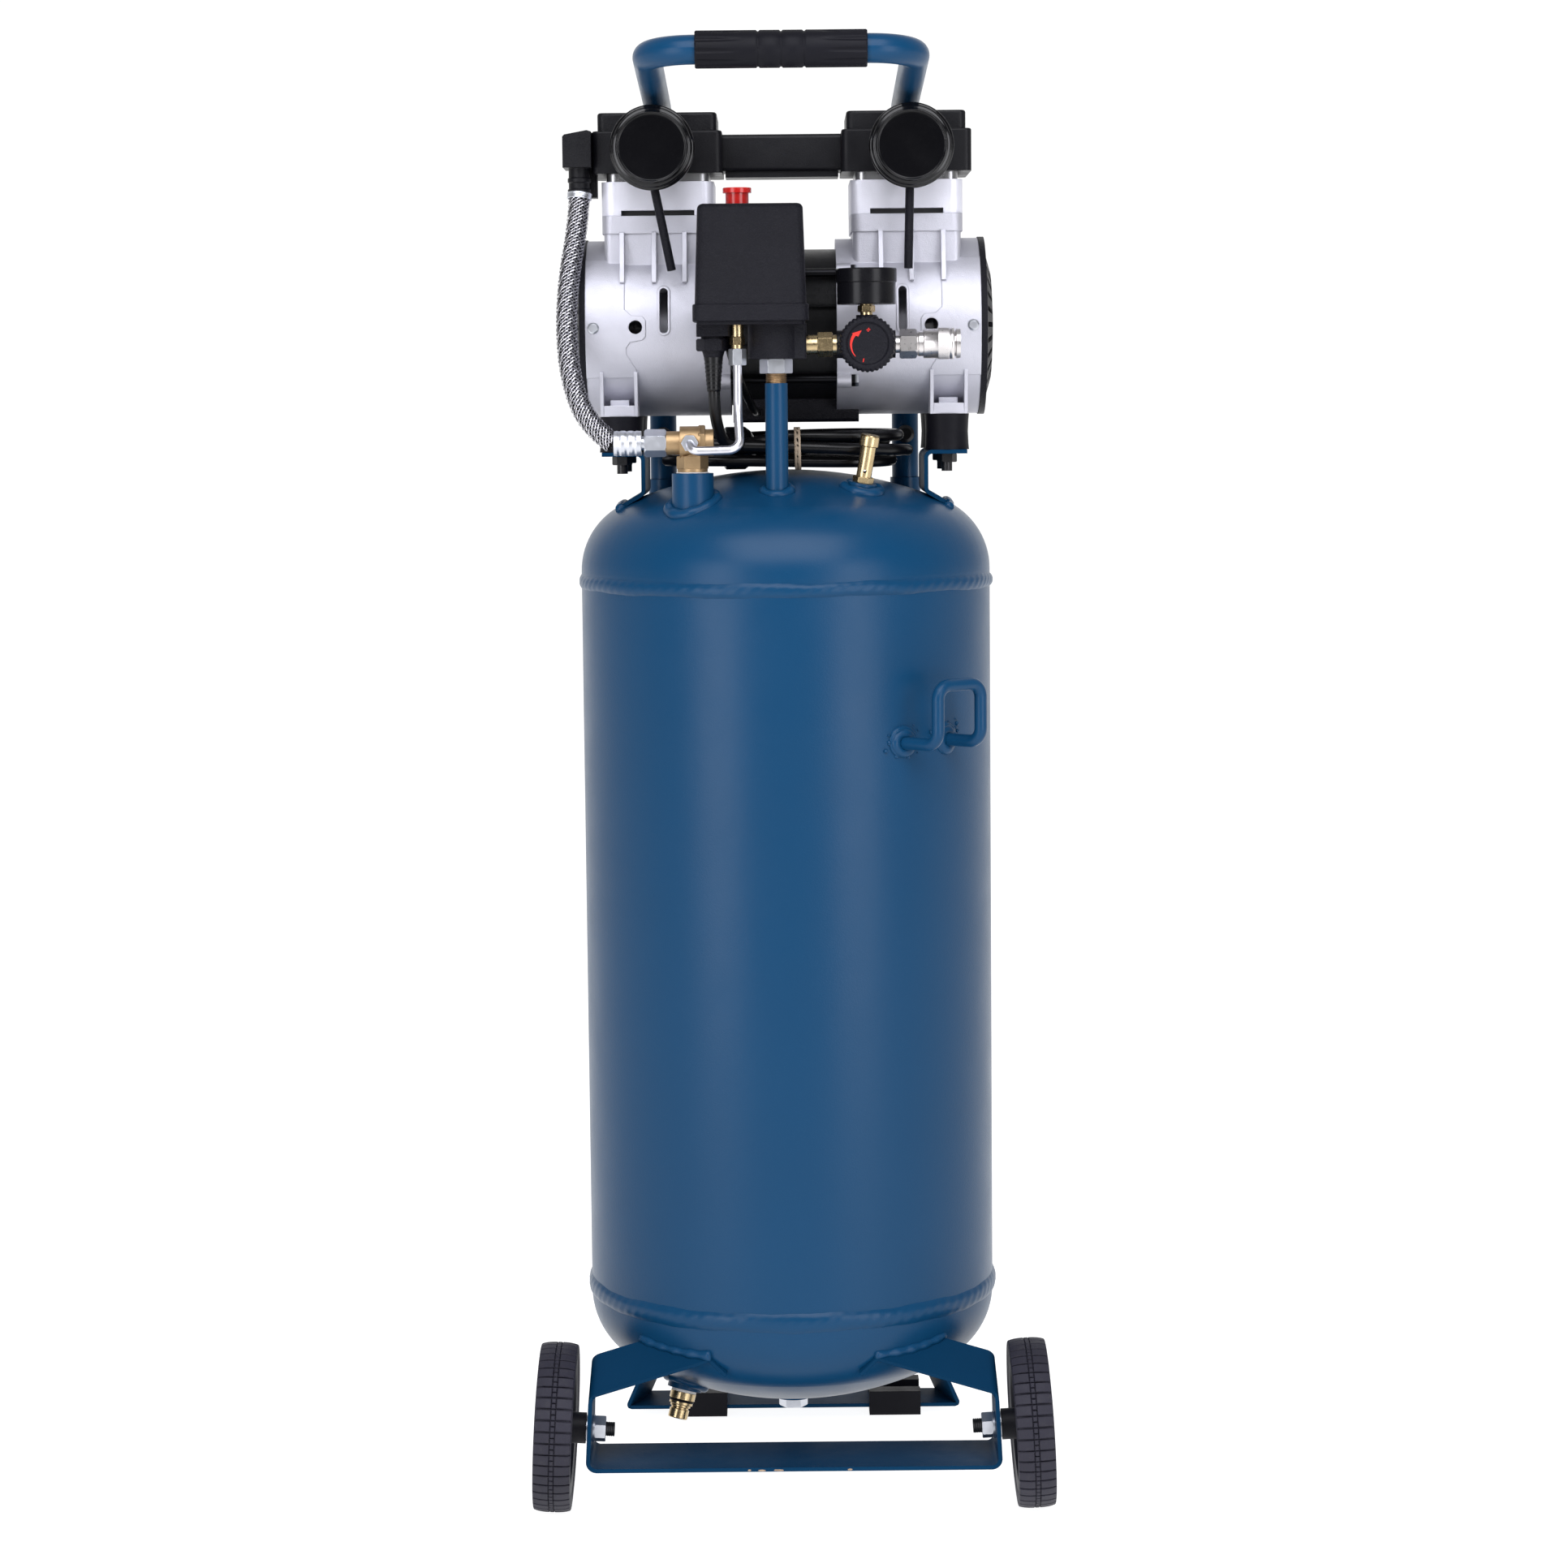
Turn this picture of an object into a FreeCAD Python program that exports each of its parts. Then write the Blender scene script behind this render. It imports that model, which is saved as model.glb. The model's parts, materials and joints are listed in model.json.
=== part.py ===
import FreeCAD, Part
import math
import os

# A vertical fifty-litre workshop air compressor: a welded tank on a two-wheel axle bracket and a rear foot,
# with a twin-cylinder oil-free pump, its pressure switch, regulator and fittings on top, and a bow handle.
# Millimetres, X to the right, Y to the back, Z up. The tank's axis is the working origin in X and Y, and
# deliver() moves each piece so that the origin lies under the middle of the whole object, on the floor.

V = FreeCAD.Vector
os.makedirs("parts", exist_ok=True)

# ---------------------------------------------------------------- driving dimensions
tank_y = 2.25  # how far the tank's axis stands behind the hand-in origin
tank_radius = 153.5
tank_wall = 2.5
top_seam, bottom_seam = 686.0, 153.3
straight_flange, knuckle = 8.0, 55.0
top_crown, bottom_crown = 310.0, 250.0

wheel_radius, wheel_width = 62.5, 28.0
wheel_x, wheel_y, camber = 176.5, -103.0, 3.0  # the middle of a wheel, and its lean in degrees
axle_z = wheel_radius * math.cos(math.radians(camber)) + wheel_width / 2 * math.sin(math.radians(camber))
plate = 3.0  # sheet of the two brackets under the tank, and of the two that carry the pump

pump_y, pump_z = 20.0, 875.0  # the crankshaft's axis
drum_radius, drum_wall = 65.5, 4.5
drum_in, drum_out = 39.4, 146.0  # a crankcase reaches from one to the other along X
cylinder_x = 92.0
bore_radius, crank_throw = 31.5, 6.0
flange_z, block_z, plate_z, head_z, lid_z, head_top = 944.0, 957.0, 982.0, 988.0, 1019.0, 1032.6
mount_x, mount_reach, mount_z = 121.0, 40.0, 783.0  # rubber mounts: X, distance from the shaft in Y, foot

front_y = -90.0  # the plane of the riser, the switch and the air line
riser_x, riser_top = -5.6, 833.0
line_z = 860.5  # the air line through regulator and coupler
regulator_x = 60.2
gland_x, button_x, unloader_x = -51.0, -32.6, -33.5
switch_bottom, switch_rim, switch_top = 875.0, 877.6, 961.0

handle_x, handle_leg_y, handle_bar_y = 94.0, 105.0, -190.0
handle_back_z, handle_bar_z, handle_radius = 1039.5, 1063.0, 10.25
grip_length, grip_radius = 119.5, 13.0

cord_radius = 4.25

# ---------------------------------------------------------------- shape helpers


def cylinder(radius, start, end):
    """A solid cylinder between two points."""
    a, b = V(*start), V(*end)
    return Part.makeCylinder(radius, (b - a).Length, a, b - a)


def ring(outer, inner, start, end):
    return cylinder(outer, start, end).cut(cylinder(inner, start, end))


def fused(*shapes):
    whole = shapes[0]
    for shape in shapes[1:]:
        whole = whole.fuse(shape)
    return whole.removeSplitter()


def cut(shape, *tools):
    for tool in tools:
        shape = shape.cut(tool)
    return shape


def placed(shape, base, direction):
    """A shape made along +Z from the origin, stood on base along direction."""
    moved = shape.copy()
    moved.Placement = FreeCAD.Placement(V(*base), FreeCAD.Rotation(V(0, 0, 1), V(*direction)))
    return moved


def along(edge, axis):
    """Whether a straight edge runs along X, Y or Z (0, 1 or 2)."""
    ends = edge.Vertexes
    if len(ends) < 2 or edge.Curve.TypeId != "Part::GeomLine":
        return False
    run = ends[1].Point - ends[0].Point
    return abs(abs(run[axis]) - run.Length) < 1e-6


def block(x, y, z, rounding=0.0, axis=2):
    """A box between two x, two y and two z, its edges along one axis rounded."""
    solid = Part.makeBox(x[1] - x[0], y[1] - y[0], z[1] - z[0], V(x[0], y[0], z[0]))
    if rounding:
        solid = solid.makeFillet(rounding, [e for e in solid.Edges if along(e, axis)])
    return solid


def hexagon(across_flats, length, base, direction, chamfer=0.6):
    """A hexagonal nut or head, with its corners turned down at both ends."""
    corner = across_flats / math.sqrt(3)
    points = [V(corner * math.cos(math.radians(60 * i)), corner * math.sin(math.radians(60 * i)), 0)
              for i in range(7)]
    prism = Part.Face(Part.makePolygon(points)).extrude(V(0, 0, length))
    turned_down = turned([(0, 0), (corner - chamfer, 0), (corner, chamfer), (corner, length - chamfer),
                          (corner - chamfer, length), (0, length)])
    return placed(prism.common(turned_down), base, direction)


def turned(outline, base=(0, 0, 0), direction=(0, 0, 1)):
    """A lathe-turned solid from (radius, height) points that start and end on the axis."""
    points = [V(r, 0, h) for r, h in outline]
    face = Part.Face(Part.makePolygon(points + points[:1]))
    return placed(face.revolve(V(0, 0, 0), V(0, 0, 1), 360), base, direction)


def bent_wire(points, radii):
    """Straight runs joined by tangent arcs, one radius for each inner point."""
    points = [V(*p) for p in points]
    edges, start = [], points[0]
    for before, corner, after, radius in zip(points, points[1:], points[2:], radii):
        into = (corner - before).normalize()
        out = (after - corner).normalize()
        turn = into.getAngle(out)
        setback = radius * math.tan(turn / 2)
        bend_start, bend_end = corner - into * setback, corner + out * setback
        middle = corner + (out - into).normalize() * (radius / math.cos(turn / 2) - radius)
        edges.append(Part.LineSegment(start, bend_start).toShape())
        edges.append(Part.Arc(bend_start, middle, bend_end).toShape())
        start = bend_end
    edges.append(Part.LineSegment(start, points[-1]).toShape())
    return Part.Wire(edges)


def swept(wire, radius):
    """A round bar along a wire."""
    first = wire.Edges[0]
    start, direction = first.valueAt(first.FirstParameter), first.tangentAt(first.FirstParameter)
    return wire.makePipeShell([Part.Wire(Part.makeCircle(radius, start, direction))], True, False)


def easy_radii(points):
    """The largest bend at each inner point of a cord's route that its two runs leave room for."""
    points = [V(*p) for p in points]
    radii = []
    for before, corner, after in zip(points, points[1:], points[2:]):
        turn = (corner - before).getAngle(after - corner)
        radii.append(0.45 * min((corner - before).Length, (after - corner).Length) / math.tan(turn / 2))
    return radii


def folded(points, thickness, inner_bend, y):
    """A strip of sheet folded along (x, z) points, from one y to the other."""
    points = [V(x, 0, z) for x, z in points]
    runs = [(b - a).normalize() for a, b in zip(points, points[1:])]
    sides = [V(-run.z, 0, run.x) for run in runs]
    faces = []
    for sign in (0.5, -0.5):
        shifted = [points[0] + sides[0] * thickness * sign]
        for corner, before, after in zip(points[1:], sides, sides[1:]):
            mitre = (before + after) * (1 / (1 + before.dot(after)))
            shifted.append(corner + mitre * thickness * sign)
        shifted.append(points[-1] + sides[-1] * thickness * sign)
        turns = [before.x * after.z - before.z * after.x for before, after in zip(runs, runs[1:])]
        bends = [inner_bend if turn * sign > 0 else inner_bend + thickness for turn in turns]
        faces.append(bent_wire([tuple(p) for p in shifted], bends))
    caps = [Part.makeLine(faces[0].Vertexes[i].Point, faces[1].Vertexes[i].Point) for i in (0, -1)]
    outline = Part.Wire(Part.__sortEdges__(faces[0].Edges + faces[1].Edges + caps))
    strip = Part.Face(outline).extrude(V(0, y[1] - y[0], 0))
    strip.translate(V(0, y[0], 0))
    return strip


def mirrored(shape):
    """The same piece on the other side of the object."""
    return shape.mirror(V(0, 0, 0), V(1, 0, 0))


def both_sides(shape):
    return [shape, mirrored(shape)]


def largest(shape):
    """The main piece of a shape that cutting has left in several."""
    return max(shape.Solids, key=lambda solid: solid.Volume)


def deliver(name, *shapes):
    """Write one sub-part, as one or more separate solids, in the hand-in frame."""
    solids = [solid for shape in shapes for solid in shape.Solids]
    for solid in solids:
        if not solid.isValid() or solid.Volume <= 0:
            print("invalid solid in", name)
    whole = solids[0] if len(solids) == 1 else Part.makeCompound(solids)
    whole = whole.copy()
    whole.translate(V(0, tank_y, 0))
    whole.exportStep("parts/" + name + ".step")
    print(name, len(solids), round(whole.Volume / 1000, 2), "cm3")


# ---------------------------------------------------------------- tank


def dome(radius, straight, knuckle_radius, crown):
    """A filled dished end standing on z = 0: a straight flange, a knuckle and a shallow crown."""
    knuckle_x = radius - knuckle_radius
    crown_z = straight - math.sqrt((crown - knuckle_radius) ** 2 - knuckle_x**2)
    lean = math.atan2(straight - crown_z, knuckle_x)

    def at(angle, centre_x, centre_z, reach):
        return V(centre_x + reach * math.cos(angle), 0, centre_z + reach * math.sin(angle))

    joint = at(lean, 0, crown_z, crown)
    apex = V(0, 0, crown_z + crown)
    halfway = (lean + math.pi / 2) / 2
    edges = [
        Part.makeLine(V(0, 0, 0), V(radius, 0, 0)),
        Part.makeLine(V(radius, 0, 0), V(radius, 0, straight)),
        Part.Arc(V(radius, 0, straight), at(lean / 2, knuckle_x, straight, knuckle_radius), joint).toShape(),
        Part.Arc(joint, at(halfway, 0, crown_z, crown), apex).toShape(),
        Part.makeLine(apex, V(0, 0, 0)),
    ]
    return Part.Face(Part.Wire(edges)).revolve(V(0, 0, 0), V(0, 0, 1), 360)


def dished_end(crown):
    outer = dome(tank_radius, straight_flange, knuckle, crown)
    inner = dome(tank_radius - tank_wall, straight_flange, knuckle - tank_wall, crown - tank_wall)
    return outer, outer.cut(inner)


def crown_height(radius, crown):
    """How far the outside of a dished end stands beyond its seam, inside its crown."""
    knuckle_x = tank_radius - knuckle
    return straight_flange - math.sqrt((crown - knuckle) ** 2 - knuckle_x**2) + math.sqrt(crown**2 - radius**2)


top_fill, top_shell = dished_end(top_crown)
bottom_fill, bottom_shell = dished_end(bottom_crown)
for end in (top_fill, top_shell):
    end.translate(V(0, 0, top_seam))
for end in (bottom_fill, bottom_shell):
    end.rotate(V(0, 0, 0), V(1, 0, 0), 180)
    end.translate(V(0, 0, bottom_seam))
barrel_fill = cylinder(tank_radius, (0, 0, bottom_seam), (0, 0, top_seam))
tank_fill = [top_fill, barrel_fill, bottom_fill]

drain_base = V(-81.0, -60.0, bottom_seam - crown_height(math.hypot(81, 60), bottom_crown))
drain_down = V(-0.24, -0.20, -0.95).normalize()
valve_base = V(57.0, -70.0, 760.0)
valve_up = V(0.17, -0.10, 0.98).normalize()
outlet_xy = (-67.0, -92.0)
outlet_top = 768.5
drain_bung_end = drain_base + drain_down * 5.5
plug_x, bottom_bung_end = 0.0, 57.0


def tank_ports():
    """The welded bungs and the riser: (solid outside the shell, bore that runs through the shell)."""
    outlet = (cylinder(15.2, outlet_xy + (720,), outlet_xy + (outlet_top,)),
              cylinder(8.5, outlet_xy + (700,), outlet_xy + (outlet_top,)))
    safety = (cylinder(10.5, tuple(valve_base - valve_up * 25), tuple(valve_base)),
              cylinder(5.0, tuple(valve_base - valve_up * 40), tuple(valve_base)))
    drain = (cylinder(13.0, tuple(drain_base - drain_down * 14), tuple(drain_bung_end)),
             cylinder(6.5, tuple(drain_base - drain_down * 22), tuple(drain_bung_end)))
    bottom = (cylinder(14.0, (0, 0, 75), (0, 0, bottom_bung_end)),
              cylinder(8.0, (0, 0, 85), (0, 0, bottom_bung_end)))
    riser = (cylinder(8.2, (riser_x, front_y, 740), (riser_x, front_y, riser_top)),
             cylinder(5.4, (riser_x, front_y, 725), (riser_x, front_y, riser_top)))
    return [outlet, safety, drain, bottom, riser]


ports = tank_ports()
port_bores = [bore for _, bore in ports]
deliver("tank_barrel", ring(tank_radius, tank_radius - tank_wall, (0, 0, bottom_seam), (0, 0, top_seam)))
top_head, bottom_head = cut(top_shell, *port_bores), cut(bottom_shell, *port_bores)
port_solids = [cut(body, bore, top_fill, bottom_fill) for body, bore in ports]
deliver("tank_top_head", top_head)
deliver("tank_bottom_head", bottom_head)

# ---------------------------------------------------------------- stand: axle bracket, wheels, rear foot

strap_front, strap_back, strap_z = -138.0, -70.0, 39.0
side_x_low, side_top = 152.0, 140.0  # the sides lean with the wheels
side_x_high = side_x_low - (side_top - strap_z) * math.tan(math.radians(camber))
arm_x, arm_z, arm_rise, arm_tilt = 150.0, 95.6, 0.30, 0.60  # the arms' plane, at the strap's front edge
arm_back, arm_inner, lip_inner = -103.0, 61.0, 48.5


def arm_plane_z(x, y):
    return arm_z + arm_rise * (arm_x - abs(x)) + arm_tilt * (y - strap_front)


def slab(points, thickness):
    """A flat plate below the face through the points."""
    face = Part.Face(Part.makePolygon(points + points[:1]))
    normal = (points[1] - points[0]).cross(points[2] - points[0]).normalize()
    return face.extrude(normal * (-thickness if normal.z > 0 else thickness))


def bend(shape, corner, first, second, radius, filled_y=None):
    """Round a fold of sheet: a point on its outer edge, the outward normals beside it, and its outer radius.

    The fold's inside is filled to a round corner too between the two y of filled_y."""
    along_fold = first.cross(second).normalize()
    lean = (first + second) * (1 / (1 + first.dot(second)))
    centre = corner - lean * radius
    ends = centre - along_fold * 90, centre + along_fold * 90

    def corner_prism(reach, outward):
        outline = [centre + first * (reach + outward), corner - lean * (radius - reach - outward),
                   centre + second * (reach + outward), centre]
        outline = [point - along_fold * 90 for point in outline]
        return Part.Face(Part.makePolygon(outline + outline[:1])).extrude(along_fold * 180)

    shape = shape.cut(corner_prism(radius, 4.0).cut(cylinder(radius, tuple(ends[0]), tuple(ends[1]))))
    if filled_y is None:
        return shape
    inner = radius - plate
    filling = corner_prism(inner, 0.4).cut(cylinder(inner, tuple(ends[0]), tuple(ends[1])))
    return fused(shape, filling.common(block((-200, 200), filled_y, (0, 300))))


def arm_corner(side, y):
    """Where an arm's top face meets the outer face of its side plate."""
    lean = math.tan(math.radians(camber))
    rise = arm_z + arm_rise * arm_x + arm_tilt * (y - strap_front) - strap_z
    x = (side_x_low + plate / 2 - rise * lean) / (1 - arm_rise * lean)
    return V(side * x, y, strap_z + rise - arm_rise * x)


def axle_bracket():
    """A strap with two upright sides, and an arm from each side up to the dished end."""
    body = folded([(-side_x_high, side_top), (-side_x_low, strap_z), (side_x_low, strap_z),
                   (side_x_high, side_top)], plate, 5.0, (strap_front, strap_back))
    outer_x = side_x_low + plate / 2 - (arm_z - strap_z) * math.tan(math.radians(camber))
    rise = 100 * arm_tilt
    corner_z = arm_plane_z(outer_x, arm_back)
    front_z = arm_plane_z(outer_x, strap_front)
    spare = [(strap_front, front_z), (strap_front - 10, front_z - 0.1 * rise), (strap_front - 10, 200), (0, 200),
             (0, 60), (strap_back, 60), (arm_back, corner_z)]
    points = [V(-200, y, z) for y, z in spare]
    body = body.cut(Part.Face(Part.makePolygon(points + points[:1])).extrude(V(400, 0, 0)))
    pieces = [body]
    for side in (-1, 1):
        corners = [(outer_x, strap_front), (arm_inner, strap_front), (arm_inner, arm_back), (outer_x, arm_back)]
        pieces.append(slab([V(side * x, y, arm_plane_z(x, y)) for x, y in corners], plate))
        tip = V(side * arm_inner, strap_front, arm_plane_z(arm_inner, strap_front))
        across, back = V(side * (lip_inner - arm_inner), 0, -12), V(0, 30, 30 * arm_tilt)
        pieces.append(slab([tip, tip + across, tip + across + back, tip + back], plate))
    bracket = fused(*pieces)
    for side in (-1, 1):
        arm_up = V(side * arm_rise, -arm_tilt, 1).normalize()
        lip_up = V(-side * 12 / (arm_inner - lip_inner), -arm_tilt, 1).normalize()
        tip = V(side * arm_inner, strap_front, arm_plane_z(arm_inner, strap_front))
        bracket = bend(bracket, arm_corner(side, -120.0), axle_direction(side), arm_up, 8.0, (-136.4, arm_back))
        bracket = bend(bracket, tip, arm_up, lip_up, 6.0, (-136.4, arm_back))
    return largest(cut(bracket, *tank_fill, *[axle_tool(5.25, side) for side in (-1, 1)]))


def axle_direction(side):
    """From the middle of the object out along a wheel's axle."""
    lean = math.radians(camber)
    return V(side * math.cos(lean), 0, math.sin(lean))


def axle_point(side, out):
    """A point on a wheel's axis, measured outwards from the middle of the wheel."""
    return V(side * wheel_x, wheel_y, axle_z) + axle_direction(side) * out


def axle_tool(radius, side):
    return cylinder(radius, tuple(axle_point(side, -60)), tuple(axle_point(side, 10)))


to_plate = V(side_x_low, wheel_y, strap_z) - axle_point(1, 0)
plate_out = to_plate.dot(axle_direction(1)) + plate / 2  # the side plate's outer face, from the wheel's middle
boss_end = plate_out + 2.1


def wheel_rim(side):
    """Hub, web and rim of a moulded wheel."""
    rim = turned([(0, boss_end), (11.5, boss_end), (11.5, -9), (40, -5), (44, -12), (50, -13), (50, 13), (44, 12),
                  (40, 5), (13, 8), (13, 12), (0, 12)])
    rim = cut(rim, cylinder(5.1, (0, 0, -30), (0, 0, 8)), cylinder(9.5, (0, 0, 6), (0, 0, 20)))
    for i in range(6):
        angle = math.radians(60 * i)
        rim = rim.cut(cylinder(7.5, (27 * math.cos(angle), 27 * math.sin(angle), -30),
                               (27 * math.cos(angle), 27 * math.sin(angle), 30)))
    return placed(rim, tuple(axle_point(side, 0)), tuple(axle_direction(side)))


def tyre(side):
    half, edge = wheel_width / 2, 3.0
    body = turned([(0, -13), (50, -13), (wheel_radius - edge - 2, -half), (wheel_radius - edge, -half),
                   (wheel_radius, -half + edge), (wheel_radius, half - edge), (wheel_radius - edge, half),
                   (wheel_radius - edge - 2, half), (50, 13), (0, 13)])
    body = cut(body, cylinder(50, (0, 0, -20), (0, 0, 20)))
    return placed(body, tuple(axle_point(side, 0)), tuple(axle_direction(side)))


def axle_bolt(side):
    """A bolt through wheel and side plate, a spacer, a washer and a nut, as four solids."""
    out = tuple(axle_direction(side))
    head_seat, plate_in = 6.3, plate_out - plate
    shank = cylinder(5.0, tuple(axle_point(side, plate_in - 16)), tuple(axle_point(side, head_seat)))
    bolt = shank.fuse(hexagon(15.0, 6.0, tuple(axle_point(side, head_seat)), out))
    spacer = ring(9.5, 5.0, tuple(axle_point(side, plate_out)), tuple(axle_point(side, boss_end - 0.3)))
    washer = ring(10.0, 5.0, tuple(axle_point(side, plate_in - 1.6)), tuple(axle_point(side, plate_in)))
    nut = hexagon(17.0, 8.0, tuple(axle_point(side, plate_in - 9.6)), out).cut(axle_tool(5.0, side))
    return [bolt, spacer, washer, nut]


foot_front, foot_back, foot_z = 150.0, 196.0, 6.0
foot_x_front, foot_x_back, foot_lean = 137.0, 121.0, 0.44


def rear_foot():
    """A strap with sides that lean in, and two arms that run forward under the dished end."""
    floor = slab([V(-foot_x_front, foot_front, foot_z + plate), V(foot_x_front, foot_front, foot_z + plate),
                  V(foot_x_back, foot_back, foot_z + plate), V(-foot_x_back, foot_back, foot_z + plate)], plate)
    pieces, folds = [floor], []
    for side in (-1, 1):
        rise_front, rise_back = 90.0, 68.0
        low_front = V(side * foot_x_front, foot_front, foot_z)
        low_back = V(side * foot_x_back, foot_back, foot_z)
        high_front = low_front + V(-side * foot_lean * rise_front, 0, rise_front)
        high_back = low_back + V(-side * foot_lean * rise_back, 0, rise_back)
        wall = Part.Face(Part.makePolygon([low_front, low_back, high_back, high_front, low_front]))
        inward = (low_back - low_front).cross(high_front - low_front).normalize()
        if inward.x * side > 0:
            inward = inward * -1
        pieces.append(wall.extrude(inward * plate))
        folds.append((low_front, inward * -1))

        def arm_point(x, y):
            slope_x = 0.25 * (abs(high_front.x) - x)
            return V(side * x, y, high_front.z + slope_x - 0.45 * (y - foot_front))

        outline = [arm_point(abs(high_front.x) + 1, foot_front), arm_point(abs(high_front.x) + 1, 104),
                   arm_point(52, 120), arm_point(52, 158), arm_point(abs(high_back.x) + 1, foot_back)]
        pieces.append(slab(outline, plate))
    foot = fused(*pieces)
    for corner, outward in folds:
        foot = bend(foot, corner, V(0, 0, -1), outward, 4.0)
    return largest(cut(foot, *tank_fill))


def foot_pad(x):
    """A rubber profile pushed on to the strap from below, with a lip over each of its edges."""
    half, front, back = 20.75, foot_front - 2.5, foot_back + 2.5
    outline = [(front, 0), (back, 0), (back, 19.5), (back - 15, 19.5), (back - 15, 9), (front + 15, 9),
               (front + 15, 19.5), (front, 19.5)]
    points = [V(x - half, y, z) for y, z in outline]
    pad = Part.Face(Part.makePolygon(points + points[:1])).extrude(V(2 * half, 0, 0))
    return pad


bracket = axle_bracket()
foot = rear_foot()
deliver("axle_bracket", bracket)
deliver("rear_foot_bracket", foot)
deliver("foot_pads", *[foot_pad(x).cut(foot) for x in (-74.5, 82.5)])
for side, name in ((-1, "left"), (1, "right")):
    deliver("wheel_rim_" + name, wheel_rim(side))
    deliver("tyre_" + name, tyre(side))
deliver("axle_bolts", *[solid for side in (-1, 1) for solid in axle_bolt(side)])

# ---------------------------------------------------------------- pump carriers and rubber mounts

carrier_y = (pump_y - 56.0, pump_y + 56.0)


def pump_bracket():
    """A Z-shaped strip: a flange under the mounts, an upright web and a foot on the tank's shoulder."""
    strip = folded([(135.5, mount_z - plate / 2), (105.0, mount_z - plate / 2), (105.0, 752.5), (119.5, 744.0)],
                   plate, 3.0, carrier_y)
    return strip.cut(top_fill)


def mount_places():
    return [(side * mount_x, pump_y + reach) for side in (1, -1) for reach in (-mount_reach, mount_reach)]


mount_top = mount_z + 26.5
mount_bolts = [cylinder(4.0, (x, y, mount_z - 16), (x, y, mount_top + 6)) for x, y in mount_places()]
mount_nuts = [hexagon(13.0, 6.5, (x, y, mount_z - plate - 6.5), (0, 0, 1)).cut(bolt)
              for (x, y), bolt in zip(mount_places(), mount_bolts)]


def rubber_mount(x, y):
    waist = turned([(0, 0), (16.6, 0), (16.2, 4), (15.8, 13), (16.2, 22), (16.6, 26.5), (0, 26.5)], (x, y, mount_z))
    return cut(waist, *mount_bolts)


deliver("pump_brackets", *[cut(shape, *mount_bolts) for shape in both_sides(pump_bracket())])
deliver("rubber_mounts", *[rubber_mount(x, y) for x, y in mount_places()])

# ---------------------------------------------------------------- crankcases

rib_places = (72.5, 95.0, 118.7)
tie_reach, tie_height = 50.0, 39.0
tie_bolts = []
for dy in (-tie_reach, tie_reach):
    for dz in (-tie_height, tie_height):
        at = (pump_y + dy, pump_z + dz)
        rod = cylinder(3.0, (-54.0,) + at, (50.0,) + at)
        tie_bolts.append(rod.fuse(hexagon(10.0, 5.5, (50.0,) + at, (1, 0, 0))))
        tie_bolts.append(hexagon(10.0, 4.5, (-54.0,) + at, (1, 0, 0)).cut(rod))

head_bolt_places = [(side * (cylinder_x + dx), pump_y + dy) for side in (1, -1)
                    for dx in (-34.0, 34.0) for dy in (-37.0, 37.0)]
head_bolts = [cylinder(3.0, (x, y, 948), (x, y, head_top - 6)).fuse(
    cut(cylinder(5.0, (x, y, head_top - 6), (x, y, head_top - 0.6)),
        hexagon(5.0, 4.0, (x, y, head_top - 4), (0, 0, 1), 0.1))) for x, y in head_bolt_places]


def gusset(x, thickness, outline):
    """A thin rib across X from (distance from the shaft in Y, height) points, and its twin at the back."""
    ribs = []
    for sign in (-1, 1):
        points = [V(x - thickness / 2, pump_y + sign * y, z) for y, z in outline]
        ribs.append(Part.Face(Part.makePolygon(points + points[:1])).extrude(V(thickness, 0, 0)))
    return ribs


def obround(x, z, width, height, y):
    """An upright slot's prism through the front and back of a case."""
    half = height / 2 - width / 2
    return fused(cylinder(width / 2, (x, y[0], z - half), (x, y[1], z - half)),
                 cylinder(width / 2, (x, y[0], z + half), (x, y[1], z + half)),
                 block((x - width / 2, x + width / 2), y, (z - half, z + half)))


def raised_patch():
    """The outer casting's edge: a skin 0.8 mm proud of the drum, stepped around a screw hole."""
    outline = [(drum_out, 925), (117, 925), (117, 888), (112, 883.5), (104, 883), (101.5, 880), (101.5, 868),
               (104, 865.5), (113, 864), (116, 860), (116, 855), (109, 844), (109, 838), (drum_out, 838)]
    points = [V(x, -80 + pump_y, z) for x, z in outline]
    prism = Part.Face(Part.makePolygon(points + points[:1])).extrude(V(0, 160, 0))
    skin = ring(drum_radius + 0.8, drum_radius - 0.5, (100, pump_y, pump_z), (drum_out, pump_y, pump_z))
    return skin.common(prism)


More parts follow.
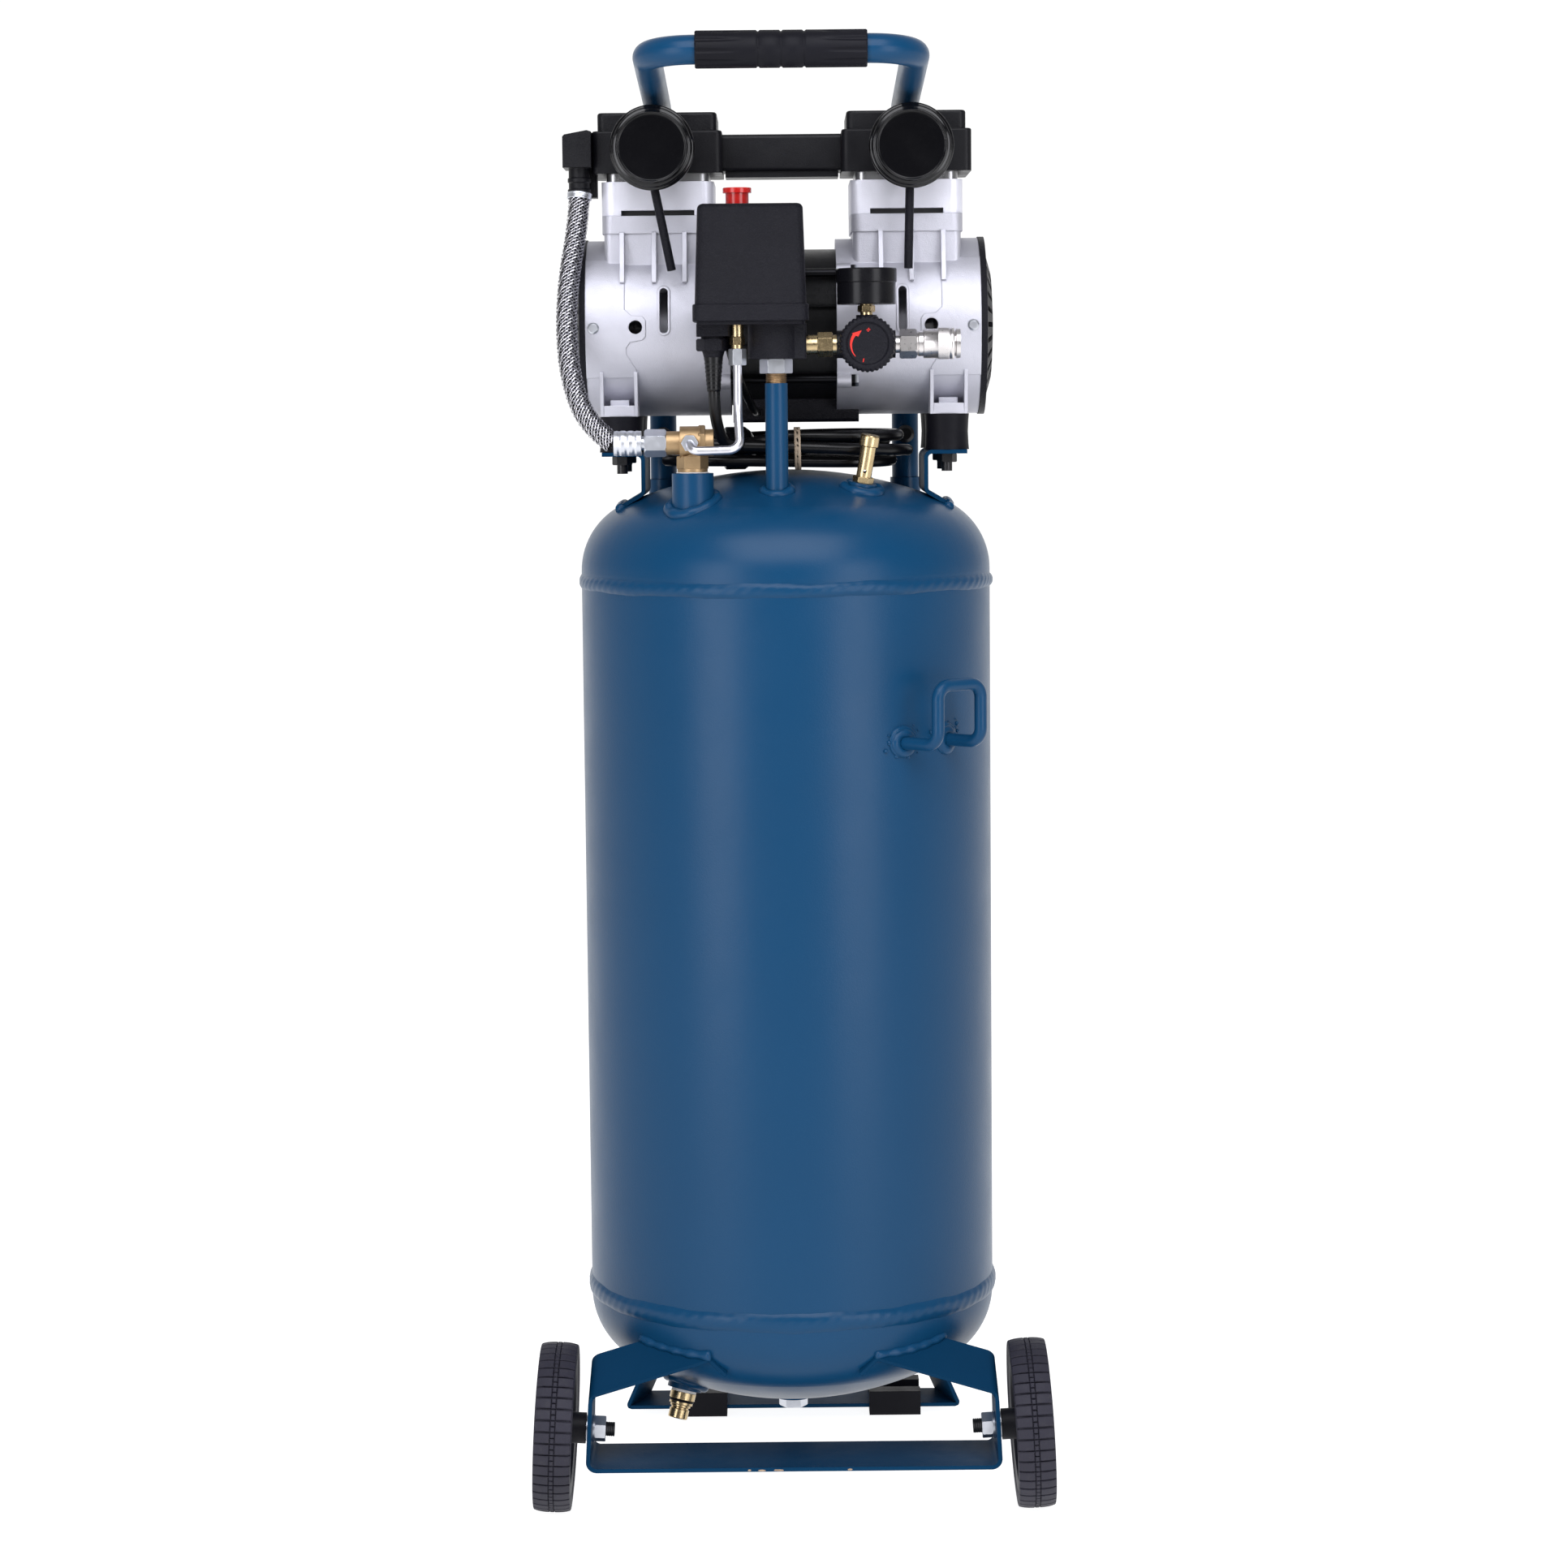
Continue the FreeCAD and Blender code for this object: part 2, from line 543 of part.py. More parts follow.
def crankcase():
    """One cast case: a drum along X, a square neck with ribs under the cylinder, and two pairs of feet."""
    axis_in, axis_out = (drum_in, pump_y, pump_z), (drum_out, pump_y, pump_z)
    outer = [cylinder(drum_radius, axis_in, axis_out),
             block((52, 132), (pump_y - 46.5, pump_y + 46.5), (890, flange_z + 1), 5.0),
             block((50.6, 133.4), (pump_y - 48.5, pump_y + 48.5), (flange_z, block_z), 8.0),
             raised_patch()]
    for x in rib_places:
        outer += gusset(x, 3.6, [(40, flange_z + 1), (50.5, flange_z + 1), (59.5, 908), (40, 908)])
    for x in (109.5, 134.8):
        outer += gusset(x, 2.6, [(28, mount_top), (54, mount_top), (58.5, 842), (28, 842)])
    for sign in (-1, 1):
        near, far = sorted((pump_y + sign * 28, pump_y + sign * 54))
        outer.append(block((109.5, 134.8), (near, far), (mount_top, mount_top + 8)))
        outer.append(block((115, 129), sorted((pump_y + sign * 30, pump_y + sign * 46)), (mount_top, mount_top + 12)))
    for dy in (-tie_reach, tie_reach):
        for dz in (-tie_height, tie_height):
            outer.append(cylinder(7.0, (drum_in, pump_y + dy, pump_z + dz), (50.0, pump_y + dy, pump_z + dz)))
    slot_rim = obround(88, 887, 9.4, 36.5, (pump_y - 66.4, pump_y + 66.4))
    outer.append(slot_rim.common(cylinder(drum_radius + 0.9, axis_in, axis_out)))
    inner = [cylinder(drum_radius - drum_wall, (drum_in + 4, pump_y, pump_z), (drum_out + 1, pump_y, pump_z)),
             cylinder(33.5, (cylinder_x, pump_y, pump_z), (cylinder_x, pump_y, block_z + 1)),
             cylinder(5.0, (109, pump_y - 80, pump_z), (109, pump_y + 80, pump_z)),
             obround(88, 887, 6.0, 33.0, (pump_y - 80, pump_y + 80))]
    case = cut(fused(*outer), *inner)
    boss = cylinder(22.0, axis_in, (drum_in + 14, pump_y, pump_z))
    seat = cylinder(17.5, (drum_in + 3, pump_y, pump_z), (drum_in + 15, pump_y, pump_z))
    through = cylinder(10.0, (drum_in - 1, pump_y, pump_z), (drum_in + 5, pump_y, pump_z))
    case = cut(fused(case, boss), seat, through)
    return largest(case)


case_cutters = tie_bolts + mount_bolts + head_bolts
right_case = crankcase()
screw_heads = [turned([(0, 0), (4.2, 0), (4.2, 1.2), (3.0, 2.4), (0, 2.4)],
                      (side * 140, pump_y + sign * (drum_radius + 0.3), pump_z - 0.5), (0, sign, 0))
               for side in (1, -1) for sign in (1, -1)]
deliver("crankcases", *[cut(case, *case_cutters) for case in both_sides(right_case)])
case_screws = [cut(screw, right_case, mirrored(right_case)) for screw in screw_heads]

# ---------------------------------------------------------------- motor and running gear

motor_radius, rotor_radius, shaft_radius = 58.0, 33.5, 7.5
eccentric_radius, big_end_bore = 9.5, 22.0


def on_shaft(radius, x_from, x_to, dy=0.0):
    return cylinder(radius, (x_from, pump_y + dy, pump_z), (x_to, pump_y + dy, pump_z))


def motor_stator():
    """The lamination stack with cooling fins along it, and its end windings."""
    stack = on_shaft(motor_radius, -drum_in, drum_in)
    fins = [block((-drum_in, drum_in), (pump_y - motor_radius - 2, pump_y - motor_radius + 6),
                  (pump_z + dz - 1, pump_z + dz + 1)) for dz in (-30, -15, 15, 30)]
    stack = cut(fused(stack, *fins), on_shaft(rotor_radius + 0.5, -50, 50), *tie_bolts)
    return largest(stack)


def fan(side):
    """A moulded cooling fan on the end of the shaft."""
    hub = on_shaft(13.0, side * 130, side * 142)
    disc = on_shaft(54.0, side * 130, side * 132)
    blades = []
    for i in range(9):
        blade = block((130, 141), (pump_y + 12, pump_y + 53), (pump_z - 1, pump_z + 1))
        if side < 0:
            blade = mirrored(blade)
        blade.rotate(V(0, pump_y, pump_z), V(1, 0, 0), 40 * i)
        blades.append(blade)
    return cut(fused(hub, disc, *blades), on_shaft(shaft_radius, side * 120, side * 150))


def piston(side):
    """Piston and rod in one, as oil-free pumps have, around its eccentric with the big end opened out."""
    x, crown = side * cylinder_x, 960.0
    head = cylinder(bore_radius - 0.3, (x, pump_y, crown), (x, pump_y, crown + 11))
    rod = block((x - 5, x + 5), (pump_y - 9, pump_y + 9), (pump_z + big_end_bore + 2, crown + 1))
    big_end = on_shaft(big_end_bore + 6, x - 6, x + 6)
    return cut(fused(head, rod, big_end), on_shaft(big_end_bore, x - 10, x + 10))


def crankshaft():
    shaft = on_shaft(shaft_radius, -143.5, 143.5)
    eccentrics = [on_shaft(eccentric_radius, side * (cylinder_x - 7), side * (cylinder_x + 7),
                           dy=side * crank_throw) for side in (-1, 1)]
    weights = []
    for side in (-1, 1):
        x = sorted((side * (cylinder_x + 10), side * (cylinder_x + 20)))
        weight = on_shaft(26.0, *x).common(block(x, sorted((pump_y, pump_y - side * 40)),
                                                 (pump_z - 30, pump_z + 30)))
        weights.append(weight)
        weights.append(on_shaft(11.0, *x))
    return fused(shaft, *eccentrics, *weights)


def fan_cover():
    """A ring and a shallow domed grille with radial slots."""
    dome_outline = [(0, 11), (18, 11), (40, 9.5), (58, 4.5), (66.3, 4.5), (66.3, 0), (61, 0), (61, 2.0), (57, 2.2),
                    (39, 7.2), (18, 8.6), (0, 8.6)]
    cover = turned(dome_outline, (drum_out, pump_y, pump_z), (1, 0, 0))
    slots = []
    for i in range(28):
        slot = block((drum_out - 1, drum_out + 15), (pump_y + 22, pump_y + 54.6), (pump_z - 1.9, pump_z + 1.9))
        slot.rotate(V(0, pump_y, pump_z), V(1, 0, 0), 360 / 28 * i)
        slots.append(slot)
    return cover.cut(Part.makeCompound(slots))


deliver("motor_stator", motor_stator())
deliver("motor_rotor", ring(rotor_radius, shaft_radius, (-36, pump_y, pump_z), (36, pump_y, pump_z)))
deliver("crankshaft", crankshaft())
deliver("bearings", *both_sides(ring(17.5, shaft_radius + 0.05, (drum_in + 3, pump_y, pump_z),
                                     (drum_in + 14, pump_y, pump_z))))
deliver("piston_left", piston(-1))
deliver("piston_right", piston(1))
deliver("cooling_fans", fan(1), fan(-1))
deliver("fan_covers", *both_sides(fan_cover()))

# ---------------------------------------------------------------- cylinders, heads and air path


def cylinder_block():
    body = block((50.4, 133.6), (pump_y - 46, pump_y + 46), (block_z, plate_z), 9.0)
    slots = [block((65, 119), sorted((pump_y + sign * 50, pump_y + sign * 38)), (block_z, block_z + 4))
             for sign in (-1, 1)]
    return cut(body, cylinder(bore_radius, (cylinder_x, pump_y, block_z - 1), (cylinder_x, pump_y, plate_z + 1)),
               *slots, *head_bolts)


def valve_plate():
    body = block((54, 130), (pump_y - 43, pump_y + 43), (plate_z, head_z), 7.0)
    ports = [cylinder(4.0, (cylinder_x + dx, pump_y, plate_z - 1), (cylinder_x + dx, pump_y, head_z + 1))
             for dx in (-14, 14)]
    return cut(body, *ports, *head_bolts)


def softened(shape, radius, chosen):
    """The shape with the edges that chosen(edge) picks rounded."""
    return shape.makeFillet(radius, [edge for edge in shape.Edges if chosen(edge)])


def cylinder_head():
    """A deep cast head, stepped in under its lid, hollow below."""
    wide = block((44, 140), (pump_y - 49, pump_y + 49), (head_z, lid_z), 5.0)
    wide = softened(wide, 1.5, lambda edge: abs(edge.CenterOfMass.z - lid_z) < 1e-6)
    lid = block((47.8, 136), (pump_y - 44, pump_y + 44), (lid_z - 2, head_top), 5.0)
    lid = softened(lid, 2.0, lambda edge: abs(edge.CenterOfMass.z - head_top) < 1e-6)
    chamber = block((62, 122), (pump_y - 28, pump_y + 28), (head_z - 1, head_z + 24), 6.0)
    return fused(wide, lid).cut(chamber)


def head_bolt_room(bolt_place):
    x, y = bolt_place
    return cylinder(5.2, (x, y, head_top - 6), (x, y, head_top + 1))


def bridge_duct():
    """The passage that joins the two heads, and the seam strip below it."""
    duct = block((-44, 44), (pump_y - 30, pump_y + 12), (990, 1017), 3.0, axis=0)
    strip = block((-42, 42), (pump_y - 26, pump_y + 8), (985.5, 991))
    passage = block((-45, 45), (pump_y - 25, pump_y + 7), (995, 1012))
    return cut(fused(duct, strip), passage)


manifold_x, manifold_y = -149.5, -28.0
hose_top = 973.0


def outlet_manifold():
    """The outlet box on the left head, sloping at its top, with a leg behind the spigot that the hose hangs from."""
    outline = [(-140, 992), (-140, 1018), (-143, 1019), (-159.5, 1016), (-161, 1014.5), (-161, 992)]
    points = [V(x, manifold_y - 14, z) for x, z in outline]
    box = Part.Face(Part.makePolygon(points + points[:1])).extrude(V(0, 44, 0))
    spigot = turned([(0, 0), (8.4, 0), (8.6, 0.6), (8.6, 3.4), (7.6, 4.2), (7.6, 8.0), (8.6, 8.8), (8.6, 11.4),
                     (7.8, 12.2), (7.8, 22), (0, 22)], (manifold_x, manifold_y, hose_top))
    leg = block((-158, -137), (manifold_y + 10, manifold_y + 28), (971, 994), 2.0)
    return fused(box, spigot, leg)


filter_x, filter_z, filter_front = 94.5, 1004.5, -72.0
head_front = pump_y - 49


def filter_body():
    """The canister of an intake filter, open to the front, on a short spigot."""
    shell = turned([(0, 0), (12, 0), (12, 7), (27.5, 10), (29.5, 14), (29.5, 30), (27, 30), (27, 12.5),
                    (0, 10)], (filter_x, head_front, filter_z), (0, -1, 0))
    return shell


def filter_cover():
    """The stepped cap that closes a filter."""
    return turned([(0, 0), (30.2, 0), (31.0, 0.8), (31.0, 4.2), (30.2, 5.0), (28.9, 5.4), (28.9, 8.2), (28.2, 9.0),
                   (26.0, 9.4), (26.0, 11.6), (25.4, 12.4), (24.6, 12.4), (24.0, 11.6), (0, 11.6)],
                  (filter_x, head_front - 30, filter_z), (0, -1, 0))


def intake_tube(side):
    """A thin air inlet that hangs from the rim of its filter."""
    top = V(side * 93.5, head_front - 22, filter_z - 28.6)
    foot = top + (V(12.0, -3, -60) if side < 0 else V(-1.5, -3, -60))
    start, end = tuple(top), tuple(foot)
    return cylinder(3.2, start, end).cut(cylinder(2.2, start, end))


blocks = both_sides(cylinder_block())
heads = [cut(shape, *head_bolts, *[head_bolt_room(place) for place in head_bolt_places])
         for shape in both_sides(cylinder_head())]
filter_bodies = both_sides(filter_body())
tubes = [largest(cut(intake_tube(side), *filter_bodies)) for side in (-1, 1)]
deliver("cylinder_blocks", *blocks)
deliver("valve_plates", *both_sides(valve_plate()))
deliver("cylinder_heads", *heads)
deliver("pump_screws", *head_bolts, *tie_bolts, *case_screws)
deliver("bridge_duct", bridge_duct())
manifold = cut(outlet_manifold(), *heads)
deliver("outlet_manifold", manifold)
deliver("filter_bodies", *filter_bodies)
deliver("filter_covers", *both_sides(filter_cover()))
deliver("intake_tubes", *tubes)


def capacitor_box():
    """The motor's capacitor housing, hung under its stack."""
    box = block((-38, 56), (pump_y - 22, pump_y + 30), (804, 828), 3.0, axis=0)
    return cut(box, on_shaft(motor_radius, -60, 60), on_shaft(drum_radius + 0.2, drum_in - 0.2, 80))


deliver("capacitor_box", capacitor_box())

# ---------------------------------------------------------------- hose, check valve and unloader line

check_x, check_z = outlet_xy[0], 790.5
hose_end_x = -124.0
hose_route = [(manifold_x, manifold_y, hose_top), (-151.0, -31.0, 950.0), (-157.5, -46.0, 912.0),
              (-159.3, -62.0, 872.0), (-155.0, -77.0, 834.0), (-142.0, -89.0, 803.0), (hose_end_x, -92.0, check_z)]
hose_wire = bent_wire(hose_route, [0.9 * radius for radius in easy_radii(hose_route)])


def crimp(base, direction, length):
    """A crimped ferrule with three shallow grooves."""
    outline = [(0, 0), (8.8, 0)]
    for i in range(3):
        start = length * (0.12 + 0.28 * i)
        outline += [(9.2, start), (8.7, start + 1.6), (9.2, start + 3.2)]
    return turned(outline + [(9.0, length), (0, length)], base, direction)


def check_valve():
    """A cast brass valve: an inlet spout and a hexagonal cap along X, on a hexagonal foot."""
    body = [cylinder(12.0, (check_x - 9, -92, check_z), (check_x + 6, -92, check_z)),
            cylinder(8.5, (check_x - 19, -92, check_z), (check_x, -92, check_z)),
            hexagon(22.0, 5.0, (check_x + 4.5, -92, check_z), (1, 0, 0)),
            cylinder(9.8, (check_x + 9, -92, check_z), (check_x + 15.5, -92, check_z)),
            hexagon(20.0, 9.5, outlet_xy + (outlet_top + 3.0,), (0, 0, 1)),
            cylinder(11.0, outlet_xy + (outlet_top + 0.8,), outlet_xy + (outlet_top + 3.4,)),
            cylinder(8.5, outlet_xy + (outlet_top - 12,), outlet_xy + (check_z,)),
            cylinder(6.0, (check_x - 1.5, -92, check_z), (check_x - 1.5, -106, check_z))]
    passage = [cylinder(4.5, (check_x - 30, -92, check_z), (check_x + 5, -92, check_z)),
               cylinder(4.5, outlet_xy + (outlet_top - 20,), outlet_xy + (check_z,))]
    return cut(fused(*body), *passage)


unloader_port = (check_x - 1.5, -106.0, check_z)
unloader_y = -112.0
unloader_nut_z = 846.0
unloader_route = [(unloader_x, front_y - 8, unloader_nut_z), (unloader_x, front_y - 8, 812.0),
                  (unloader_x + 1.5, unloader_y - 2, 785.5), (-66.0, unloader_y - 5, 784.8),
                  (check_x - 1.5, -108.5, check_z)]
unloader_wire = bent_wire(unloader_route, [30.0, 9.0, 5.5])


def steel_fittings():
    """The riser's nut, the hose's swivel nut and stem, the unloader's two nuts and the drain plug."""
    riser = hexagon(20.8, 10.4, (riser_x, front_y, 840.0), (0, 0, 1)).cut(
        cylinder(6.5, (riser_x, front_y, 830), (riser_x, front_y, 860)))
    swivel = hexagon(17.5, 16.0, (-101.8, -92, check_z), (1, 0, 0), 1.2).cut(
        cylinder(8.5, (check_x - 19, -92, check_z), (check_x, -92, check_z)))
    stem = cylinder(5.0, (-104.0, -92, check_z), (-101.8, -92, check_z))
    ferrule = crimp((hose_end_x, -92, check_z), (1, 0, 0), 20.0)
    upper = hexagon(11.2, 12.0, (unloader_x, front_y - 8, unloader_nut_z), (0, 0, 1))
    lower = hexagon(11.0, 4.5, unloader_port, (0, -1, 0)).cut(swept(unloader_wire, 3.25))
    bung_plug = fused(hexagon(19.0, 7.0, (plug_x, 0, bottom_bung_end - 7.0), (0, 0, 1)),
                      cylinder(8.0, (0, 0, bottom_bung_end - 1), (0, 0, bottom_bung_end + 12)))
    return [riser, swivel.fuse(stem), ferrule, upper, lower, bung_plug]


def riser_nipple():
    """The threaded pipe between riser and switch."""
    return ring(6.5, 4.0, (riser_x, front_y, riser_top), (riser_x, front_y, 852.0))


fittings = steel_fittings()
deliver("braided_hose", largest(cut(swept(hose_wire, 8.0), manifold, *fittings)))
deliver("check_valve", check_valve())
deliver("steel_fittings", *fittings)
deliver("unloader_tube", swept(unloader_wire, 3.25))

# ---------------------------------------------------------------- pressure switch

switch_x, switch_y = (-64.0, 17.0), (front_y - 34.0, front_y + 32.0)


def switch_base():
    """The moulded base: port block, flange, cable boss and the rim that takes the cover."""
    plate = block((switch_x[0] + 1.5, switch_x[1] - 1.5), (switch_y[0] + 1.5, switch_y[1] - 1.5),
                  (switch_bottom, switch_rim), 5.0)
    rim = block((switch_x[0] + 3.3, switch_x[1] - 3.3), (switch_y[0] + 3.3, switch_y[1] - 3.3),
                (switch_rim - 0.5, switch_rim + 9), 4.0)
    port = cylinder(20.2, (riser_x, front_y, 850.4), (riser_x, front_y, switch_bottom + 1))
    flange = block((riser_x, 16.5), (front_y - 15, front_y + 15), (850.4, switch_bottom + 1), 2.0)
    boss = block((gland_x - 12, gland_x + 12), (front_y - 14, front_y + 14), (867, switch_bottom + 1), 3.0)
    bores = [cylinder(6.5, (riser_x, front_y, 850), (riser_x, front_y, 866)),
             cylinder(4.25, (gland_x, front_y, 860), (gland_x, front_y, 895)),
             cylinder(7.0, (2.0, front_y, line_z), (20.0, front_y, line_z)),
             block((switch_x[0] + 6, switch_x[1] - 6), (switch_y[0] + 6, switch_y[1] - 6),
                   (switch_rim, switch_rim + 10))]
    return cut(fused(plate, rim, port, flange, boss), *bores)


def rounded_rectangle(x, y, z, radius):
    """A closed outline with round corners in a level plane."""
    corners = [(x[0], y[0]), (x[1], y[0]), (x[1], y[1]), (x[0], y[1])]
    middle = ((x[0] + x[1]) / 2, y[0])
    path = [middle] + corners[1:] + corners[:1] + [middle]
    return bent_wire([(px, py, z) for px, py in path], [radius] * 4)


def softened_top(shape, z):
    return softened(shape, 1.0, lambda edge: abs(edge.CenterOfMass.z - z) < 1e-6 and abs(edge.BoundBox.ZLength) < 1e-6)


def switch_cover():
    """A hood that narrows to its top, with rounded shoulders, hollow, with a hole for the button."""
    foot = rounded_rectangle(switch_x, switch_y, switch_rim, 6.0)
    top = rounded_rectangle((-61.0, 14.5), (switch_y[0] + 2.5, switch_y[1] - 2.5), switch_top, 6.0)
    hood = Part.makeLoft([foot, top], True, True)
    hood = softened(hood, 4.0, lambda edge: abs(edge.CenterOfMass.z - switch_top) < 1e-6
                    and abs(edge.BoundBox.ZLength) < 1e-6)
    inside = Part.makeLoft([rounded_rectangle((-61.5, 14.5), (switch_y[0] + 2.5, switch_y[1] - 2.5),
                                              switch_rim - 1, 4.0),
                            rounded_rectangle((-58.5, 12.0), (switch_y[0] + 5, switch_y[1] - 5),
                                              switch_top - 3, 4.0)], True, True)
    hole = cylinder(8.7, (button_x, front_y, switch_top - 10), (button_x, front_y, switch_top + 5))
    lip = Part.makeLoft([rounded_rectangle((switch_x[0] - 1.2, switch_x[1] + 1.2),
                                           (switch_y[0] - 1.2, switch_y[1] + 1.2), z, 6.5)
                         for z in (switch_rim, switch_rim + 12)], True, True)
    return cut(fused(hood, softened_top(lip, switch_rim + 12)), inside, hole)


def switch_button():
    """The red pull-and-push knob."""
    return turned([(0, 0), (8.4, 0), (8.4, 22.6), (10.35, 22.6), (10.35, 26.0), (9.9, 26.4), (6.0, 26.4),
                   (5.2, 25.4), (0, 25.4)], (button_x, front_y, switch_top - 14), (0, 0, 1))


def cable_gland():
    nut = hexagon(21.6, 9.0, (gland_x, front_y, 856.5), (0, 0, 1), 1.0)
    collar = cylinder(9.0, (gland_x, front_y, 865.0), (gland_x, front_y, 867.0))
    tail = turned([(0, 0), (6.6, 0), (8.2, 5.5), (0, 5.5)], (gland_x, front_y, 851.0))
    return fused(nut, collar, tail).cut(cylinder(cord_radius, (gland_x, front_y, 845), (gland_x, front_y, 870)))


def unloader_valve():
    """The small brass body under the switch that the unloader line screws on to."""
    return fused(cylinder(4.5, (unloader_x, front_y - 8, 858.0), (unloader_x, front_y - 8, switch_bottom)),
                 hexagon(9.6, 6.0, (unloader_x, front_y - 8, 860.6), (0, 0, 1)))


base = switch_base()
deliver("switch_base", base)
deliver("switch_cover", switch_cover())
deliver("switch_button", switch_button())
deliver("cable_gland", cable_gland())

# ---------------------------------------------------------------- air line: nipple, regulator, gauge, coupler

gauge_z, gauge_radius = 889.0, 22.1
coupler_start, coupler_end = 84.0, 128.0
coupler_bore = 5.0


def air_nipple():
    """The brass nipple between switch and regulator, its hexagon in the middle."""
    tube = cylinder(7.0, (10.0, front_y, line_z), (43.0, front_y, line_z))
    nut = hexagon(15.5, 11.0, (24.5, front_y, line_z), (1, 0, 0))
    return cut(fused(tube, nut), cylinder(4.0, (5, front_y, line_z), (45, front_y, line_z)))


def gauge_stem():
    return fused(cylinder(4.5, (regulator_x, front_y, 878.0), (regulator_x, front_y, gauge_z)),
                 hexagon(11.0, 5.0, (regulator_x, front_y, 883.5), (0, 0, 1)))


def regulator_body():
    """A die-cast body with a port on each side, a gauge port on top and the knob's neck in front."""
    body = fused(cylinder(15.5, (regulator_x, front_y + 20, line_z), (regulator_x, front_y - 16, line_z)),
                 cylinder(10.0, (38.5, front_y, line_z), (81.0, front_y, line_z)),
                 cylinder(7.5, (regulator_x, front_y, line_z), (regulator_x, front_y, 881.5)))
    return cut(body, cylinder(7.0, (35, front_y, line_z), (43.0, front_y, line_z)),
               cylinder(4.5, (regulator_x, front_y, 878.0), (regulator_x, front_y, 890)),
               cylinder(6.5, (76, front_y, line_z), (90, front_y, line_z)))


def regulator_knob():
    """The knurled pressure knob, dished in front."""
    skirt = turned([(0, 0), (17.5, 0), (17.5, 2), (20.6, 3.5), (20.6, 19), (19.4, 21), (15.4, 21.6),
                    (14.6, 20.0), (0, 20.0)])
    grooves = []
    for i in range(24):
        angle = math.radians(15 * i)
        x, y = 21.5 * math.cos(angle), 21.5 * math.sin(angle)
        grooves.append(cylinder(1.6, (x, y, 3), (x, y, 25)))
    socket = cylinder(15.8, (0, 0, -1), (0, 0, 12))
    return placed(cut(skirt, Part.makeCompound(grooves), socket), (regulator_x, front_y - 12, line_z), (0, -1, 0))


def gauge_case():
    """A steel case with a raised bezel, open at the top for the dial."""
    return turned([(0, 0), (20.8, 0), (21.2, 0.6), (21.3, 15.6), (gauge_radius, 16.2), (gauge_radius, 25.2),
                   (21.4, 26), (19.4, 26), (19.4, 19), (0, 19)], (regulator_x, front_y, gauge_z), (0, 0, 1))


def gauge_needle():
    """A pointer on its spindle, above the dial, at its zero in the lower left."""
    blade = block((regulator_x - 0.6, regulator_x + 0.6), (front_y - 4, front_y + 12.5), (910.6, 911.2))
    blade.rotate(V(regulator_x, front_y, 0), V(0, 0, 1), 135)
    return fused(blade, cylinder(1.8, (regulator_x, front_y, 908.1), (regulator_x, front_y, 912.0)))


def coupler_body():
    """The quick coupler's fixed part: thread, hexagon, barrel and the stop at its mouth."""
    outline = [(0, 76), (6.5, 76), (6.5, coupler_start), (8.5, coupler_start), (8.5, 97), (9.0, 98), (9.0, 124.4),
               (10.7, 125), (10.7, coupler_end), (0, coupler_end)]
    body = turned(outline, (0, front_y, line_z), (1, 0, 0))
    nut = hexagon(18.5, 12.5, (coupler_start, front_y, line_z), (1, 0, 0), 1.0)
    return cut(fused(body, nut), cylinder(coupler_bore, (coupler_end - 24, front_y, line_z),
                                          (coupler_end + 1, front_y, line_z)),
               cylinder(3.5, (70, front_y, line_z), (coupler_end, front_y, line_z)))


def coupler_sleeve():
    """The knurled sleeve that is drawn back to let the plug go."""
    outline = [(0, 0), (10.2, 0), (10.6, 0.5), (10.6, 10.4), (11.4, 10.8), (11.5, 11.2), (11.5, 18.2), (11.0, 18.6),
               (11.0, 19.1), (11.4, 19.5), (11.4, 21.9), (10.9, 22.4), (0, 22.4)]
    sleeve = turned(outline, (101.2, front_y, line_z), (1, 0, 0))
    return sleeve.cut(cylinder(9.06, (100, front_y, line_z), (130, front_y, line_z)))


deliver("brass_fittings", air_nipple(), gauge_stem(), riser_nipple(),
        largest(cut(unloader_valve(), base)))
deliver("regulator_body", regulator_body())
deliver("regulator_knob", regulator_knob())
deliver("gauge_case", gauge_case())
deliver("gauge_needle", gauge_needle())
deliver("coupler_body", coupler_body())
deliver("coupler_sleeve", coupler_sleeve())

# ---------------------------------------------------------------- safety valve and drain cock


def safety_valve():
    """A turned brass valve: hexagonal foot, a barrel with vent holes and the stem's end."""
    foot = hexagon(13.5, 4.5, (0, 0, 0), (0, 0, 1))
    barrel = cylinder(5.6, (0, 0, 4), (0, 0, 27.0))
    stem = cylinder(2.5, (0, 0, 26), (0, 0, 31.0))
    shank = cylinder(4.9, (0, 0, -7), (0, 0, 1))
    vents = [cylinder(1.3, (-9, 0, 9), (9, 0, 9)), cylinder(1.3, (0, -9, 9), (0, 9, 9))]
    return cut(fused(foot, barrel, stem, shank), *vents)


def safety_cap():
    """The knurled cap that is pulled up to test the valve."""
    cap = turned([(0, 27.5), (7.1, 27.5), (7.1, 34.5), (6.4, 35.5), (2.0, 35.5), (1.6, 35.0), (0, 35.0)])
    return cap.cut(cylinder(2.6, (0, 0, 20), (0, 0, 31.5)))


def drain_body():
    """The drain cock's body with its hexagon and O-ring groove."""
    return turned([(0, -8), (6.4, -8), (6.4, 0), (7.6, 0), (7.6, 2.2), (9.6, 2.2), (9.6, 7.6), (7.4, 8.2),
                   (7.4, 9.4), (8.8, 9.4), (8.8, 11.4), (4.0, 11.4), (4.0, 13.6), (0, 13.6)])


def drain_knob():
    """The knurled screw that opens the drain."""
    knob = turned([(0, 11.9), (7.6, 11.9), (7.6, 13.2), (6.4, 13.8), (6.4, 14.8), (7.4, 15.2), (7.4, 21.6),
                   (6.8, 22.2), (0, 22.2)])
    return knob.cut(cylinder(4.06, (0, 0, 5), (0, 0, 14.2)))


